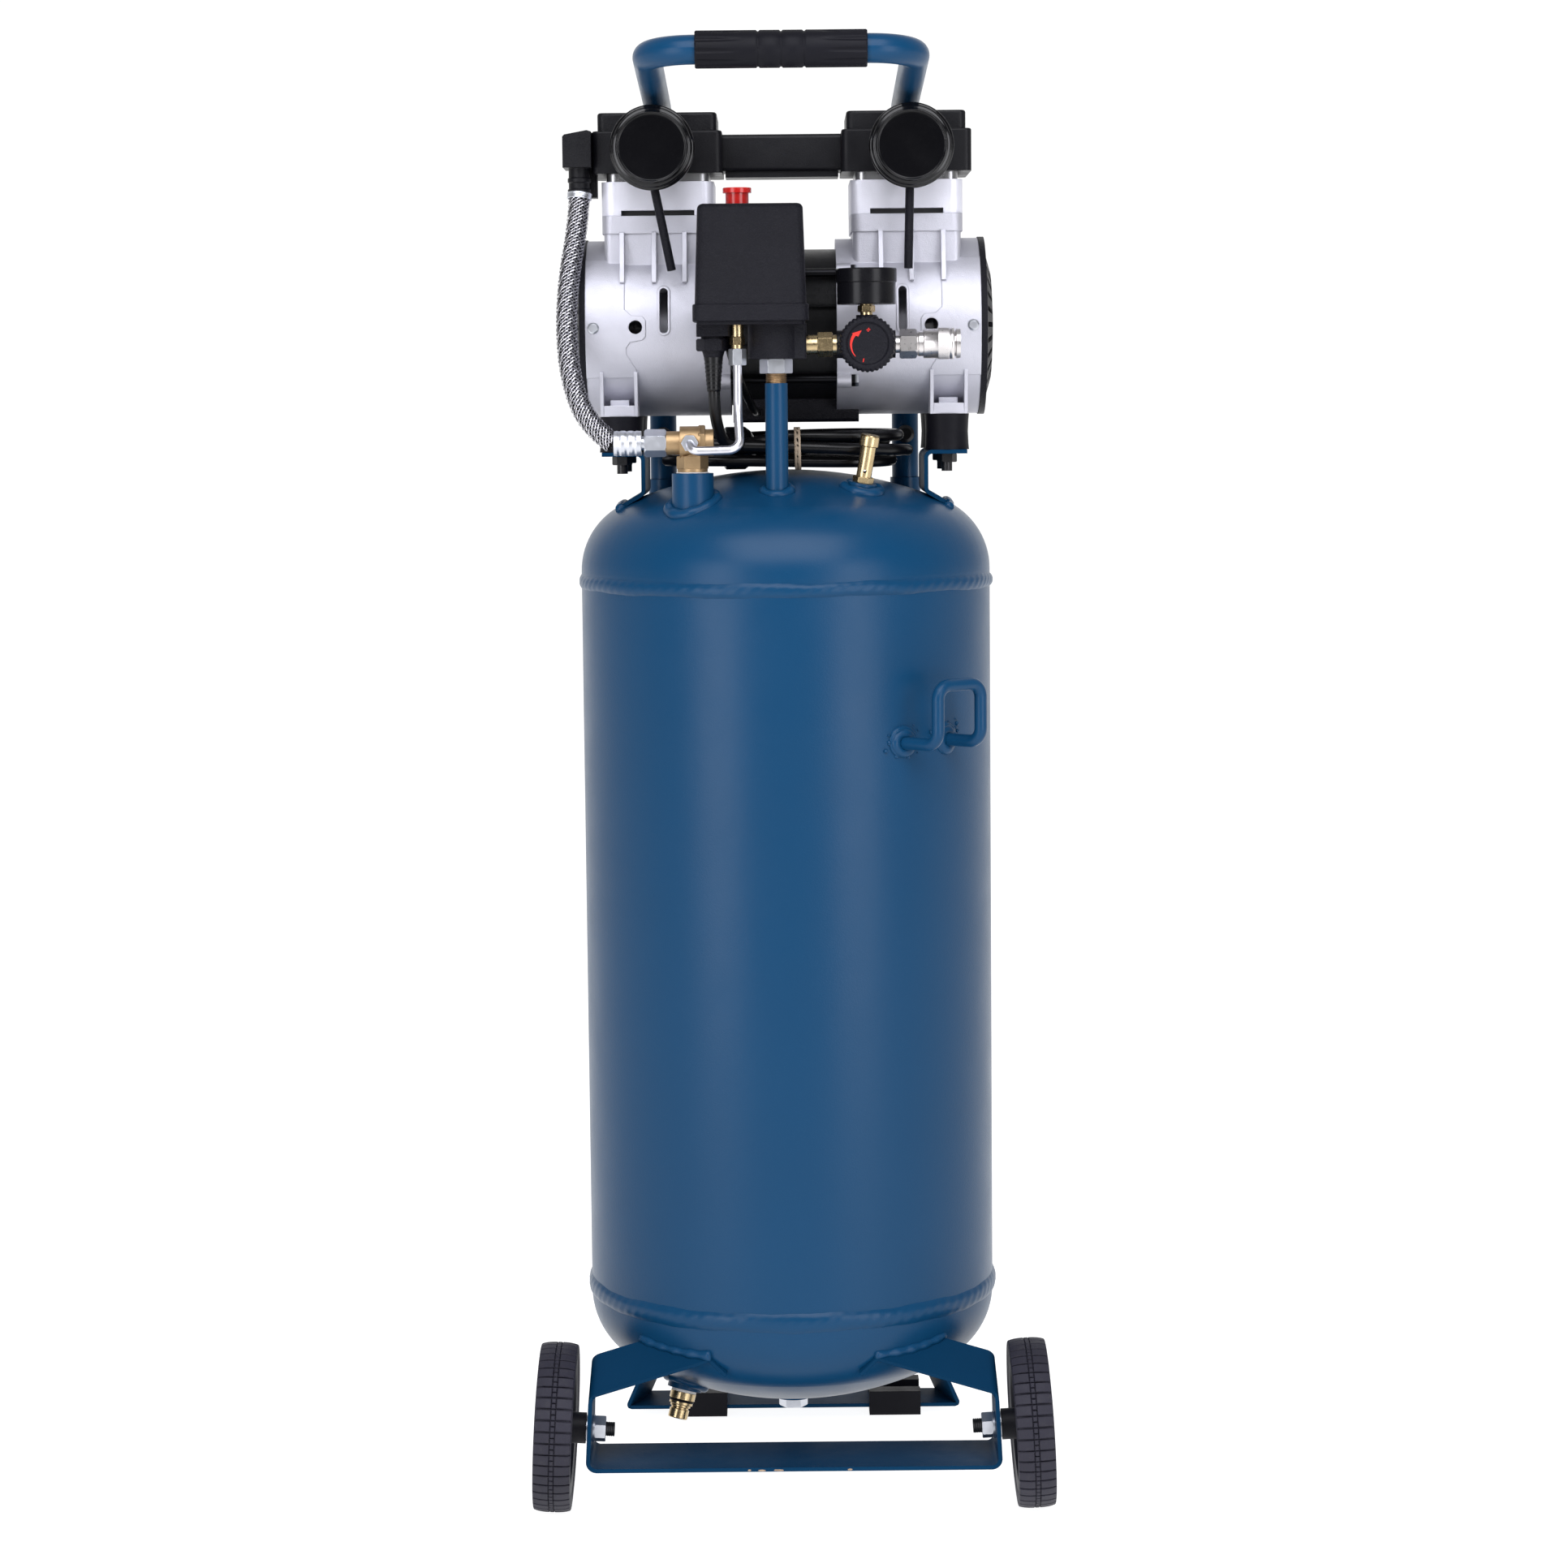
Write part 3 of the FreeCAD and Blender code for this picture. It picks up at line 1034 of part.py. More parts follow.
def on_valve(shape):
    return placed(shape, tuple(valve_base), tuple(valve_up))


def on_drain(shape):
    return placed(shape, tuple(drain_bung_end), tuple(drain_down))


deliver("safety_valve_body", largest(cut(on_valve(safety_valve()), top_head, *port_solids)))
deliver("safety_valve_cap", on_valve(safety_cap()))
deliver("drain_body", largest(cut(on_drain(drain_body()), bottom_head, *port_solids)))
deliver("drain_knob", on_drain(drain_knob()))

# ---------------------------------------------------------------- handle and hose hook


def handle_tube():
    """One bent tube: up from the shoulder, forward over the pump and across in front."""
    leg_bottom = 760.0
    half = [(handle_x, handle_leg_y, leg_bottom), (handle_x, handle_leg_y, handle_back_z),
            (handle_x, handle_bar_y, handle_bar_z)]
    route = half + [(-x, y, z) for x, y, z in reversed(half)]
    wire = bent_wire(route, [46.0, 33.0, 33.0, 46.0])
    return swept(wire, handle_radius).cut(swept(wire, handle_radius - 1.5))


def handle_socket(side):
    """A stub welded to the tank's shoulder, which the leg slides over."""
    x, y = side * handle_x, handle_leg_y
    stub = fused(cylinder(handle_radius - 1.5, (x, y, 700), (x, y, 812)),
                 cylinder(handle_radius + 1.5, (x, y, 700), (x, y, 760)))
    return stub.cut(top_fill).cut(barrel_fill)


def handle_bolt(side):
    """The bolt that holds a leg to its socket, from the front."""
    x, z = side * handle_x, 793.5
    face = handle_leg_y - handle_radius
    return fused(cylinder(4.0, (x, face, z), (x, handle_leg_y + handle_radius + 4, z)),
                 turned([(0, 0), (6.8, 0), (6.8, 3.0), (4.5, 5.0), (0, 5.0)], (x, face + 0.6, z), (0, -1, 0)))


def handle_grip():
    """A rubber sleeve with shallow rings in its middle."""
    half = grip_length / 2
    outline = [(0, -half), (12.4, -half), (grip_radius, -half + 1), (grip_radius, -15)]
    for x in (-14, 0, 14):
        outline += [(grip_radius, x - 0.9), (grip_radius - 0.8, x), (grip_radius, x + 0.9)]
    outline += [(grip_radius, 15), (grip_radius, half - 1), (12.4, half), (0, half)]
    sleeve = turned(outline, (0, handle_bar_y, handle_bar_z), (1, 0, 0))
    return sleeve.cut(cylinder(handle_radius, (-100, handle_bar_y, handle_bar_z), (100, handle_bar_y, handle_bar_z)))


def hose_hook():
    """A bar bent into an upright loop that stands off the tank's side."""
    low, high = 573.5, 616.0
    out = V(24.5, -22.1, 0)
    first, second = V(83.5, -128.8, low), V(115.5, -101.1, low)
    inside = out * 0.5
    route = [first - inside, first + out, first + out + V(0, 0, high - low),
             second + out + V(0, 0, high - low), second + out, second - inside]
    bar = swept(bent_wire([tuple(p) for p in route], [10.0] * 4), 4.6)
    return largest(bar.cut(barrel_fill))


handle_bolts = [handle_bolt(side) for side in (-1, 1)]
deliver("handle_tube", cut(handle_tube(), *handle_bolts))
handle_sockets = [cut(handle_socket(side), *handle_bolts) for side in (-1, 1)]
deliver("tank_ports", *port_solids, *handle_sockets)
deliver("handle_grip", handle_grip())
deliver("hose_hook", hose_hook())
deliver("frame_bolts", *mount_bolts, *mount_nuts, *handle_bolts)

# ---------------------------------------------------------------- power cord and motor lead

hank_z, hank_section = 785.0, 15.0
hank_straight, hank_turn, hank_y = 43.0, 42.0, -5.0
plug_tail = (-12.0, 5.5, hank_z)
plug_direction = (-22.0, -3.0, 0.0)
lead_route = [(gland_x, front_y, 856.0), (gland_x, front_y, 828.0), (gland_x + 1, -82.0, 805.0),
              (-43.0, -62.0, 785.0)]
tail_route = [(31.5, 22.6, hank_z), (10.0, 8.5, hank_z), plug_tail]


def cord_hank():
    """The outer shape of the looped cord: a stadium ring that lies on the tank's crown."""
    left, right = -hank_straight, hank_straight
    front, back = hank_y - hank_turn, hank_y + hank_turn
    edges = [Part.makeLine(V(left, front, hank_z), V(right, front, hank_z)),
             Part.Arc(V(right, front, hank_z), V(right + hank_turn, hank_y, hank_z),
                      V(right, back, hank_z)).toShape(),
             Part.makeLine(V(right, back, hank_z), V(left, back, hank_z)),
             Part.Arc(V(left, back, hank_z), V(left - hank_turn, hank_y, hank_z),
                      V(left, front, hank_z)).toShape()]
    return cut(swept(Part.Wire(edges), hank_section), top_fill)


def power_plug():
    """A moulded mains plug with two pins, lying inside the hank."""
    body = turned([(0, 0), (5.0, 0), (7.0, 10), (13.0, 14), (16.0, 18), (16.0, 32), (15.0, 33), (0, 33)])
    pins = [cylinder(2.4, (dy, 0, 32), (dy, 0, 52)) for dy in (-9.5, 9.5)]
    return placed(fused(body, *pins), plug_tail, plug_direction)


def cord_tube(name, route):
    """A stretch of the cord along its route, with its volume compared with section times length."""
    radii = easy_radii(route)
    wire = bent_wire(route, radii)
    tube = swept(wire, cord_radius)
    share = tube.Volume / (math.pi * cord_radius**2 * wire.Length)
    print(name, "radii", [round(radius, 1) for radius in radii], "length", round(wire.Length, 1), round(share, 4))
    return tube


motor_lead_route = [(-40.0, front_y + 8, 877.4), (-40.0, front_y + 8, 858.0), (-30.0, -60.0, 830.0),
                    (-22.0, -32.0, 812.0), (-20.0, -2.0, 812.0)]

hank = cord_hank()
plug = power_plug()
lead, tail = cord_tube("cord lead", lead_route), cord_tube("cord tail", tail_route)
deliver("cord_lead", cut(lead, hank), cut(tail, hank, plug))
deliver("cord_hank", hank)
deliver("power_plug", plug)
motor_lead_wire = bent_wire(motor_lead_route, easy_radii(motor_lead_route))
deliver("motor_lead", largest(cut(swept(motor_lead_wire, 3.0), capacitor_box(), base)))
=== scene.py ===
"""Looks for an upright workshop air compressor: blue tank, oil-free twin pump, switch, regulator and handle.

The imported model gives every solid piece. This script adds the materials, the weld beads, the tyres' tread,
the hose's braid, the dial, the looped power cord with its tie, the camera, the floor and the light.
"""

import bpy
import json
import math
import random
from mathutils import Matrix, Vector
from mathutils.bvhtree import BVHTree


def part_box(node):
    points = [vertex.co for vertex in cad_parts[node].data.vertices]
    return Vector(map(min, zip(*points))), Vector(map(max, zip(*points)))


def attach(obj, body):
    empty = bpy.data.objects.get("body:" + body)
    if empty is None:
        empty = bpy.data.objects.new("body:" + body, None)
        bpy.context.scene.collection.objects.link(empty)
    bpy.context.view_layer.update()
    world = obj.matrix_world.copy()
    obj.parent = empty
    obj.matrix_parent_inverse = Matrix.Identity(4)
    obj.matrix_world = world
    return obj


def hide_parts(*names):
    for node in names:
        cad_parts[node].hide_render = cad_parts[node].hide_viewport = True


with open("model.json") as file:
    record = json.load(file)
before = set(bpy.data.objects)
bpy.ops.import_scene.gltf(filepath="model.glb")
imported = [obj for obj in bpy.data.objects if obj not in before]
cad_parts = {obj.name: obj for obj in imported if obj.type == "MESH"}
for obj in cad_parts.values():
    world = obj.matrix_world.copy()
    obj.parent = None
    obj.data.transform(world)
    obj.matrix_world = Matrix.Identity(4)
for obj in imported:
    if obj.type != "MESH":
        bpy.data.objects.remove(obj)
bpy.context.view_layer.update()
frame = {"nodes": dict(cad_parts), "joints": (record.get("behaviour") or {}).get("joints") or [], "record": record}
nodes = frame["nodes"]
joints = {joint["name"]: joint for joint in frame["joints"]}
random.seed(5)
MM = 0.001


# ---------------------------------------------------------------- places read from the frame

tank_low, tank_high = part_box("tank_barrel")
TANK = Vector((0.0, (tank_low.y + tank_high.y) / 2, 0.0))  # a point on the tank's axis
TANK_RADIUS = (tank_high.x - tank_low.x) / 2
TOP_SEAM, BOTTOM_SEAM = tank_high.z, tank_low.z
SCENE = bpy.context.scene.collection
RIGHT, AHEAD, UP = Vector((1, 0, 0)), Vector((0, 1, 0)), Vector((0, 0, 1))


def at(x, y, z):
    """A place in metres, from millimetres to the right of the tank's axis, behind it and above the floor."""
    return Vector((x * MM, TANK.y + y * MM, z * MM))


# ---------------------------------------------------------------- camera

LENS, SENSOR, CLIP_END = 86.0, 36.0, 50.0
CAMERA_RIGHT, CAMERA_AHEAD, CAMERA_ABOVE = -2.775, -2823.26, 140.67  # mm from the tank's axis and upper seam
CAMERA_PITCH, CAMERA_ROLL = 0.1043, -0.0096


def add_camera():
    """A long lens a little above the tank's shoulder, looking slightly down, rolled by half a degree."""
    data = bpy.data.cameras.new("camera")
    data.sensor_width = SENSOR
    data.lens = LENS
    data.clip_end = CLIP_END
    camera = bpy.data.objects.new("camera", data)
    SCENE.objects.link(camera)
    camera.location = (CAMERA_RIGHT * MM, TANK.y + CAMERA_AHEAD * MM, TOP_SEAM + CAMERA_ABOVE * MM)
    pitch = Matrix.Rotation(math.pi / 2 - CAMERA_PITCH, 3, "X")
    roll = Matrix.Rotation(CAMERA_ROLL, 3, "Z")
    camera.rotation_euler = (pitch @ roll).to_euler()
    bpy.context.scene.camera = camera


# ---------------------------------------------------------------- materials

MIX_A, MIX_B, MIX_RESULT = 6, 7, 2  # the colour sockets of a mix node
COAT_ROUGHNESS = 0.12
FLECK_FROM, FLECK_TO = 0.56, 0.74  # the part of the noise that shows as flecks


def node_of(tree, kind, **values):
    """A shader node with some of its inputs or settings given by name."""
    made = tree.nodes.new(kind)
    for name, value in values.items():
        label = name.replace("_", " ")
        if label in made.inputs:
            made.inputs[label].default_value = value
        else:
            setattr(made, name, value)
    return made


def noise(tree, place, scale, detail=3.0, roughness=0.55, stretch=(1, 1, 1)):
    """A noise texture over the object's own coordinates, in metres."""
    mapping = node_of(tree, "ShaderNodeMapping")
    mapping.inputs["Scale"].default_value = stretch
    tree.links.new(place, mapping.inputs["Vector"])
    texture = node_of(tree, "ShaderNodeTexNoise", Scale=scale, Detail=detail, Roughness=roughness)
    tree.links.new(mapping.outputs["Vector"], texture.inputs["Vector"])
    return texture.outputs["Fac"]


def ranged(tree, value, low, high, from_low=0.3, from_high=0.7):
    """A texture's middle range stretched over low to high."""
    made = node_of(tree, "ShaderNodeMapRange")
    made.clamp = True
    for name, number in (("From Min", from_low), ("From Max", from_high), ("To Min", low), ("To Max", high)):
        made.inputs[name].default_value = number
    tree.links.new(value, made.inputs["Value"])
    return made.outputs["Result"]


def shade(colour, factor):
    """A colour made lighter or darker, with its alpha."""
    return tuple(min(1.0, c * factor) for c in colour[:3]) + (1.0,)


def tinted(tree, shown, amount, colour):
    """A shown colour that gives way to a constant one where the amount is high."""
    mix = node_of(tree, "ShaderNodeMix")
    mix.data_type = "RGBA"
    mix.inputs[MIX_B].default_value = colour + (1.0,)
    tree.links.new(amount, mix.inputs["Factor"])
    tree.links.new(shown, mix.inputs[MIX_A])
    return mix.outputs[MIX_RESULT]


def finish_material(name, colour, roughness, metallic=0.0, spread=0.12, cloud=9.0,
                    grain=(900.0, 0.15, 0.0002), rough_spread=0.08, edge=0.0005, coat=0.0, specular=0.5,
                    stretch=(1, 1, 1), speckle=None, second=None):
    """One finish: clouded colour and gloss, a fine bump, softened edges.

    grain and second are bumps (scale, strength, depth); speckle is a fleck (scale, amount, colour).
    """
    material = bpy.data.materials.new(name)
    material.use_nodes = True
    tree = material.node_tree
    shader = tree.nodes["Principled BSDF"]
    shader.inputs["Metallic"].default_value = metallic
    shader.inputs["Specular IOR Level"].default_value = specular
    if coat:
        shader.inputs["Coat Weight"].default_value = coat
        shader.inputs["Coat Roughness"].default_value = COAT_ROUGHNESS
    place = node_of(tree, "ShaderNodeTexCoord").outputs["Object"]
    broad = noise(tree, place, cloud, 4.0, 0.6)
    ramp = node_of(tree, "ShaderNodeMix")
    ramp.data_type = "RGBA"
    ramp.inputs[MIX_A].default_value = shade(colour, 1 - spread)
    ramp.inputs[MIX_B].default_value = shade(colour, 1 + spread)
    tree.links.new(ranged(tree, broad, 0.0, 1.0), ramp.inputs["Factor"])
    shown = ramp.outputs[MIX_RESULT]
    if speckle:
        size, amount, tint = speckle
        fleck = ranged(tree, noise(tree, place, size, 2.0, 0.7), 0.0, amount, FLECK_FROM, FLECK_TO)
        shown = tinted(tree, shown, fleck, tint)
    tree.links.new(shown, shader.inputs["Base Color"])
    rough = ranged(tree, noise(tree, place, cloud * 5, 5.0, 0.6), max(0.02, roughness - rough_spread),
                   min(1.0, roughness + rough_spread))
    tree.links.new(rough, shader.inputs["Roughness"])
    scale, strength, depth = grain
    bump = node_of(tree, "ShaderNodeBump", Strength=strength, Distance=depth)
    tree.links.new(noise(tree, place, scale, 3.0, 0.6, stretch), bump.inputs["Height"])
    last = bump
    if second:
        scale, strength, depth = second
        wave = node_of(tree, "ShaderNodeBump", Strength=strength, Distance=depth)
        tree.links.new(noise(tree, place, scale, 2.0, 0.5), wave.inputs["Height"])
        tree.links.new(bump.outputs["Normal"], wave.inputs["Normal"])
        last = wave
    if edge:
        soft = node_of(tree, "ShaderNodeBevel", Radius=edge, samples=4)
        tree.links.new(soft.outputs["Normal"], bump.inputs["Normal"])
    tree.links.new(last.outputs["Normal"], shader.inputs["Normal"])
    return material


BLUE = (0.0032, 0.045, 0.114)
BLACK = (0.0050, 0.0050, 0.0085)


def make_materials():
    """Every finish on the object, by the name of its slot in the record."""
    made = {}

    def add(name, *args, **kwargs):
        made[name] = finish_material(name, *args, **kwargs)

    add("tank_paint", BLUE, 0.31, spread=0.03, cloud=5.0, grain=(800.0, 0.30, 0.0003), specular=0.20,
        second=(140.0, 0.035, 0.0008), rough_spread=0.03, edge=0.0006,
        speckle=(1600.0, 0.16, (0.03, 0.09, 0.17)))
    # the tank's blue darkened to 0.7 for the brackets as painted shade, with a matt, low-gloss finish
    add("bracket_paint_shaded", shade(BLUE, 0.7)[:3], 0.5, spread=0.05, cloud=9.0, grain=(800.0, 0.3, 0.0003),
        specular=0.04, second=(120.0, 0.04, 0.0008), rough_spread=0.04, edge=0.0005)
    add("wheel_rim", (0.014, 0.014, 0.021), 0.5, grain=(1500.0, 0.3, 0.0002), specular=0.3)
    add("tyre", (0.019, 0.018, 0.029), 0.62, specular=0.3, spread=0.2, grain=(1100.0, 0.5, 0.0003),
        edge=0.0004, speckle=(160.0, 0.12, (0.07, 0.065, 0.06)))
    add("rubber", (0.0050, 0.0050, 0.0080), 0.5, specular=0.13, grain=(1300.0, 0.35, 0.0002), spread=0.2)
    add("zinc", (0.63, 0.65, 0.70), 0.34, 0.9, spread=0.08, cloud=60.0, grain=(500.0, 0.03, 0.0001),
        edge=0.0004, rough_spread=0.05)
    add("cast_silver", (0.55, 0.55, 0.61), 0.48, 0.72, spread=0.05, cloud=18.0, grain=(1500.0, 0.55, 0.00035),
        second=(230.0, 0.16, 0.0008), edge=0.0009, rough_spread=0.05)
    add("machined", (0.78, 0.78, 0.86), 0.44, 0.4, spread=0.05, cloud=20.0, grain=(1600.0, 0.45, 0.0003),
        edge=0.0007, second=(260.0, 0.1, 0.0006))
    add("steel", (0.42, 0.42, 0.43), 0.3, 1.0, grain=(900.0, 0.12, 0.0002), stretch=(1, 14, 1))
    add("black_plastic", BLACK, 0.40, specular=0.15, grain=(900.0, 1.0, 0.0007), edge=0.0007, spread=0.15,
        speckle=(1100.0, 0.30, (0.030, 0.030, 0.040)))
    add("gloss_black", (0.004, 0.004, 0.005), 0.12, specular=0.4, grain=(420.0, 0.06, 0.0002), spread=0.1,
        rough_spread=0.05, speckle=(900.0, 0.05, (0.08, 0.08, 0.08)))
    add("head_black", (0.004, 0.004, 0.0058), 0.42, specular=0.22, grain=(900.0, 0.35, 0.0003), spread=0.15,
        edge=0.0009, second=(200.0, 0.12, 0.0006))
    add("lamination", (0.005, 0.005, 0.006), 0.35, specular=0.3, grain=(2600.0, 0.8, 0.0003),
        stretch=(9.0, 0.05, 0.05), spread=0.2)
    add("braid", (0.74, 0.73, 0.77), 0.26, 1.0, spread=0.18, cloud=500.0, grain=(2500.0, 0.1, 0.0001),
        edge=0.0)
    # the braid's steel made darker for the ribbons that wind the other way: painted shade, the same steel
    add("braid_painted_shade", (0.24, 0.24, 0.27), 0.34, 1.0, spread=0.18, cloud=500.0, grain=(2500.0, 0.1, 0.0001),
        edge=0.0)
    add("brass", (0.58, 0.445, 0.25), 0.27, 1.0, spread=0.08, cloud=70.0, grain=(900.0, 0.03, 0.0001),
        edge=0.0004, rough_spread=0.05)
    add("cast_brass", (0.40, 0.275, 0.15), 0.46, 0.9, spread=0.12, cloud=90.0, grain=(1100.0, 0.25, 0.0002),
        edge=0.0006, rough_spread=0.06)
    add("aluminium_tube", (0.72, 0.72, 0.77), 0.34, 1.0, spread=0.04, cloud=50.0, grain=(300.0, 0.02, 0.0001),
        edge=0.0, rough_spread=0.04)
    add("red_plastic", (0.55, 0.012, 0.010), 0.24, grain=(900.0, 0.12, 0.0002), edge=0.0004, coat=0.2)
    add("nickel", (0.72, 0.69, 0.68), 0.30, 0.95, spread=0.05, cloud=80.0, grain=(900.0, 0.02, 0.0001),
        edge=0.0, rough_spread=0.04)
    add("bolt_black", (0.02, 0.02, 0.022), 0.35, 0.4, grain=(1000.0, 0.3, 0.0002), edge=0.0004)
    add("gauge_black", (0.0045, 0.0045, 0.006), 0.26, specular=0.22, grain=(500.0, 0.03, 0.0001))
    add("cable", (0.0028, 0.0028, 0.0036), 0.30, specular=0.3, grain=(420.0, 0.03, 0.0002), spread=0.1,
        edge=0.0)
    add("old_brass", (0.30, 0.20, 0.11), 0.42, 1.0, spread=0.3, cloud=120.0, grain=(900.0, 0.2, 0.0002),
        edge=0.0)
    add("bare_steel", (0.42, 0.30, 0.20), 0.5, 0.4, spread=0.3, cloud=300.0, grain=(900.0, 0.3, 0.0002),
        edge=0.0)
    add("red_mark", (0.62, 0.02, 0.012), 0.4, grain=(900.0, 0.1, 0.0001), edge=0.0)
    add("dial_white", (0.78, 0.78, 0.75), 0.5, grain=(900.0, 0.05, 0.0001), spread=0.03, edge=0.0)
    add("dial_black", (0.01, 0.01, 0.01), 0.5, grain=(900.0, 0.05, 0.0001), edge=0.0)
    add("tie", (0.42, 0.33, 0.24), 0.5, grain=(900.0, 0.4, 0.0003), spread=0.2, edge=0.0002)
    add("tape", (0.75, 0.73, 0.72), 0.45, grain=(700.0, 0.4, 0.0004), spread=0.08, edge=0.0)
    add("braid_core", (0.006, 0.006, 0.007), 0.7, specular=0.1, grain=(900.0, 0.3, 0.0002), edge=0.0)
    return made


# the colour of the painted shade on the screws between the crankcases
BOLT_SHADE = (0.012, 0.012, 0.014)
CASE_FACE = 0.0535  # how far each crankcase's inner face lies from the middle


def shade_between_cases(material):
    """The same finish with painted shade: blackened where it runs between the two crankcases, where shade falls.
    """
    made = material.copy()
    made.name = "bolt_painted_shade"
    tree = made.node_tree
    shader = tree.nodes["Principled BSDF"]
    parts = node_of(tree, "ShaderNodeSeparateXYZ")
    tree.links.new(node_of(tree, "ShaderNodeTexCoord").outputs["Object"], parts.inputs["Vector"])
    size = node_of(tree, "ShaderNodeMath", operation="ABSOLUTE")
    tree.links.new(parts.outputs["X"], size.inputs[0])
    # painted shade mask: full between the crankcases' inner faces, none outside them
    shade_amount = ranged(tree, size.outputs["Value"], 1.0, 0.0, CASE_FACE - MM, CASE_FACE + MM)
    shown = shader.inputs["Base Color"].links[0].from_socket
    tree.links.new(tinted(tree, shown, shade_amount, BOLT_SHADE), shader.inputs["Base Color"])
    return made


materials = make_materials()
for record_part in frame["record"]["subparts"]:
    cad_object = nodes[record_part["node"]]
    cad_object.data.materials.clear()
    cad_object.data.materials.append(materials[record_part["material_slot"]])
# the brackets take the darker copy of the tank's paint: painted shade
for name in ("axle_bracket", "rear_foot_bracket", "pump_brackets"):
    nodes[name].data.materials[0] = materials["bracket_paint_shaded"]
nodes["check_valve"].data.materials[0] = materials["cast_brass"]
# the pump screws are blackened between the crankcases as painted shade
nodes["pump_screws"].data.materials[0] = shade_between_cases(materials["zinc"])


# ---------------------------------------------------------------- building helpers


def new_object(name, data, material, body):
    """A piece that rides on a body and takes a finish."""
    made = bpy.data.objects.new(name, data)
    SCENE.objects.link(made)
    data.materials.append(materials[material])
    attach(made, body)
    return made


def mesh_of(name, vertices, faces, smooth=True):
    """A mesh from vertices in metres and faces."""
    mesh = bpy.data.meshes.new(name)
    mesh.from_pydata([tuple(v) for v in vertices], [], faces)
    for polygon in mesh.polygons:
        polygon.use_smooth = smooth
    mesh.update()
    return mesh


def piece(name, shape, material, body, smooth=True):
    """An object made from a shape's vertices and faces."""
    return new_object(name, mesh_of(name, *shape, smooth), material, body)


def tube_points(path, radius, sides=10, closed=False, ripple=None):
    """Vertices and faces of a tube along points, its radius changed by ripple(distance, angle)."""
    points = [Vector(p) for p in path]
    count = len(points)
    vertices, faces, run = [], [], 0.0
    side = None
    for i, point in enumerate(points):
        ahead = points[(i + 1) % count] if closed or i + 1 < count else point
        behind = points[i - 1] if closed or i else point
        along = (ahead - behind).normalized()
        if side is None:
            side = along.orthogonal().normalized()
        side = (side - along * side.dot(along)).normalized()
        up = along.cross(side)
        for j in range(sides):
            angle = 2 * math.pi * j / sides
            reach = radius * (ripple(run, angle) if ripple else 1.0)
            vertices.append(point + (side * math.cos(angle) + up * math.sin(angle)) * reach)
        run += (ahead - point).length
    rows = count if closed else count - 1
    for i in range(rows):
        for j in range(sides):
            a, b = i * sides + j, i * sides + (j + 1) % sides
            c, d = ((i + 1) % count) * sides + (j + 1) % sides, ((i + 1) % count) * sides + j
            faces.append((a, b, c, d))
    if not closed:
        faces.append(tuple(reversed(range(sides))))
        faces.append(tuple(range((count - 1) * sides, count * sides)))
    return vertices, faces


def joined(parts):
    """Several lists of vertices and faces as one."""
    vertices, faces = [], []
    for some_vertices, some_faces in parts:
        start = len(vertices)
        vertices += some_vertices
        faces += [tuple(start + i for i in face) for face in some_faces]
    return vertices, faces


def nearest_surface(*names):
    """A ray tree over some CAD nodes."""
    vertices, faces = [], []
    for name in names:
        data = nodes[name].data
        start = len(vertices)
        vertices += [v.co.copy() for v in data.vertices]
        faces += [tuple(start + i for i in polygon.vertices) for polygon in data.polygons]
    return BVHTree.FromPolygons(vertices, faces)


# ---------------------------------------------------------------- weld beads


def weld_bead(name, path, radius, closed=True, lump=0.16):
    """A lumpy bead along points: the welder's overlapping ripples, with some spatter."""
    phases = [random.uniform(0, 6.28) for _ in range(6)]

    def ripple(run, angle):
        waves = math.sin(run / 0.0021 + phases[0] + 0.7 * math.sin(run / 0.013 + phases[1]))
        slow = math.sin(run / 0.011 + phases[2]) + math.sin(run / 0.027 + phases[3] + angle)
        return 1 + 0.45 * lump * waves + 0.5 * lump * slow

    return piece(name, tube_points(path, radius, 12, closed, ripple), "tank_paint", "frame")


def circle_path(centre, radius, count, axis):
    """Points round a circle."""
    side = axis.orthogonal().normalized()
    up = axis.cross(side)
    return [centre + (side * math.cos(a) + up * math.sin(a)) * radius
            for a in (2 * math.pi * i / count for i in range(count))]


def seam_bead(name, z, height, proud):
    """The low, wide bead of a seam round the tank: flat-topped, with ripples that lean along its run."""
    rows, count = 9, 1300
    vertices, faces = [], []
    phases = [random.uniform(0, 6.28) for _ in range(5)]
    for i in range(count):
        a = 2 * math.pi * i / count
        run = a * TANK_RADIUS
        wander = 0.0006 * math.sin(3 * a + phases[0]) + 0.0003 * math.sin(13 * a + phases[1])
        width = height * (1 + 0.05 * math.sin(9 * a + phases[2]) + 0.03 * math.sin(31 * a))
        for j in range(rows):
            t = j / (rows - 1)
            crown = min(1.0, 3.2 * min(t, 1 - t)) ** 0.7
            lean = 2.6 * math.cos(math.pi * t) + 1.2 * math.sin(run / 0.03 + phases[3])
            scale = math.sin(run / 0.0016 + lean)
            swell = 0.00035 * math.sin(run / 0.017 + phases[4]) * math.sin(run / 0.041)
            reach = TANK_RADIUS - 0.0004 + crown * (proud + 0.00012 * scale + swell)
            level = z + (t - 0.5) * width + wander
            vertices.append(Vector((reach * math.cos(a), TANK.y + reach * math.sin(a), level)))
    for i in range(count):
        for j in range(rows - 1):
            a, b = i * rows + j, ((i + 1) % count) * rows + j
            faces.append((a, b, b + 1, a + 1))
    return piece(name, (vertices, faces), "tank_paint", "frame")


SPATTER_BODY = ((-0.9, 0.8), (-0.4, 1.0), (0.1, 0.95), (0.5, 0.7), (0.75, 0.3))  # height and radius shares
SPATTER_SIDES = 8


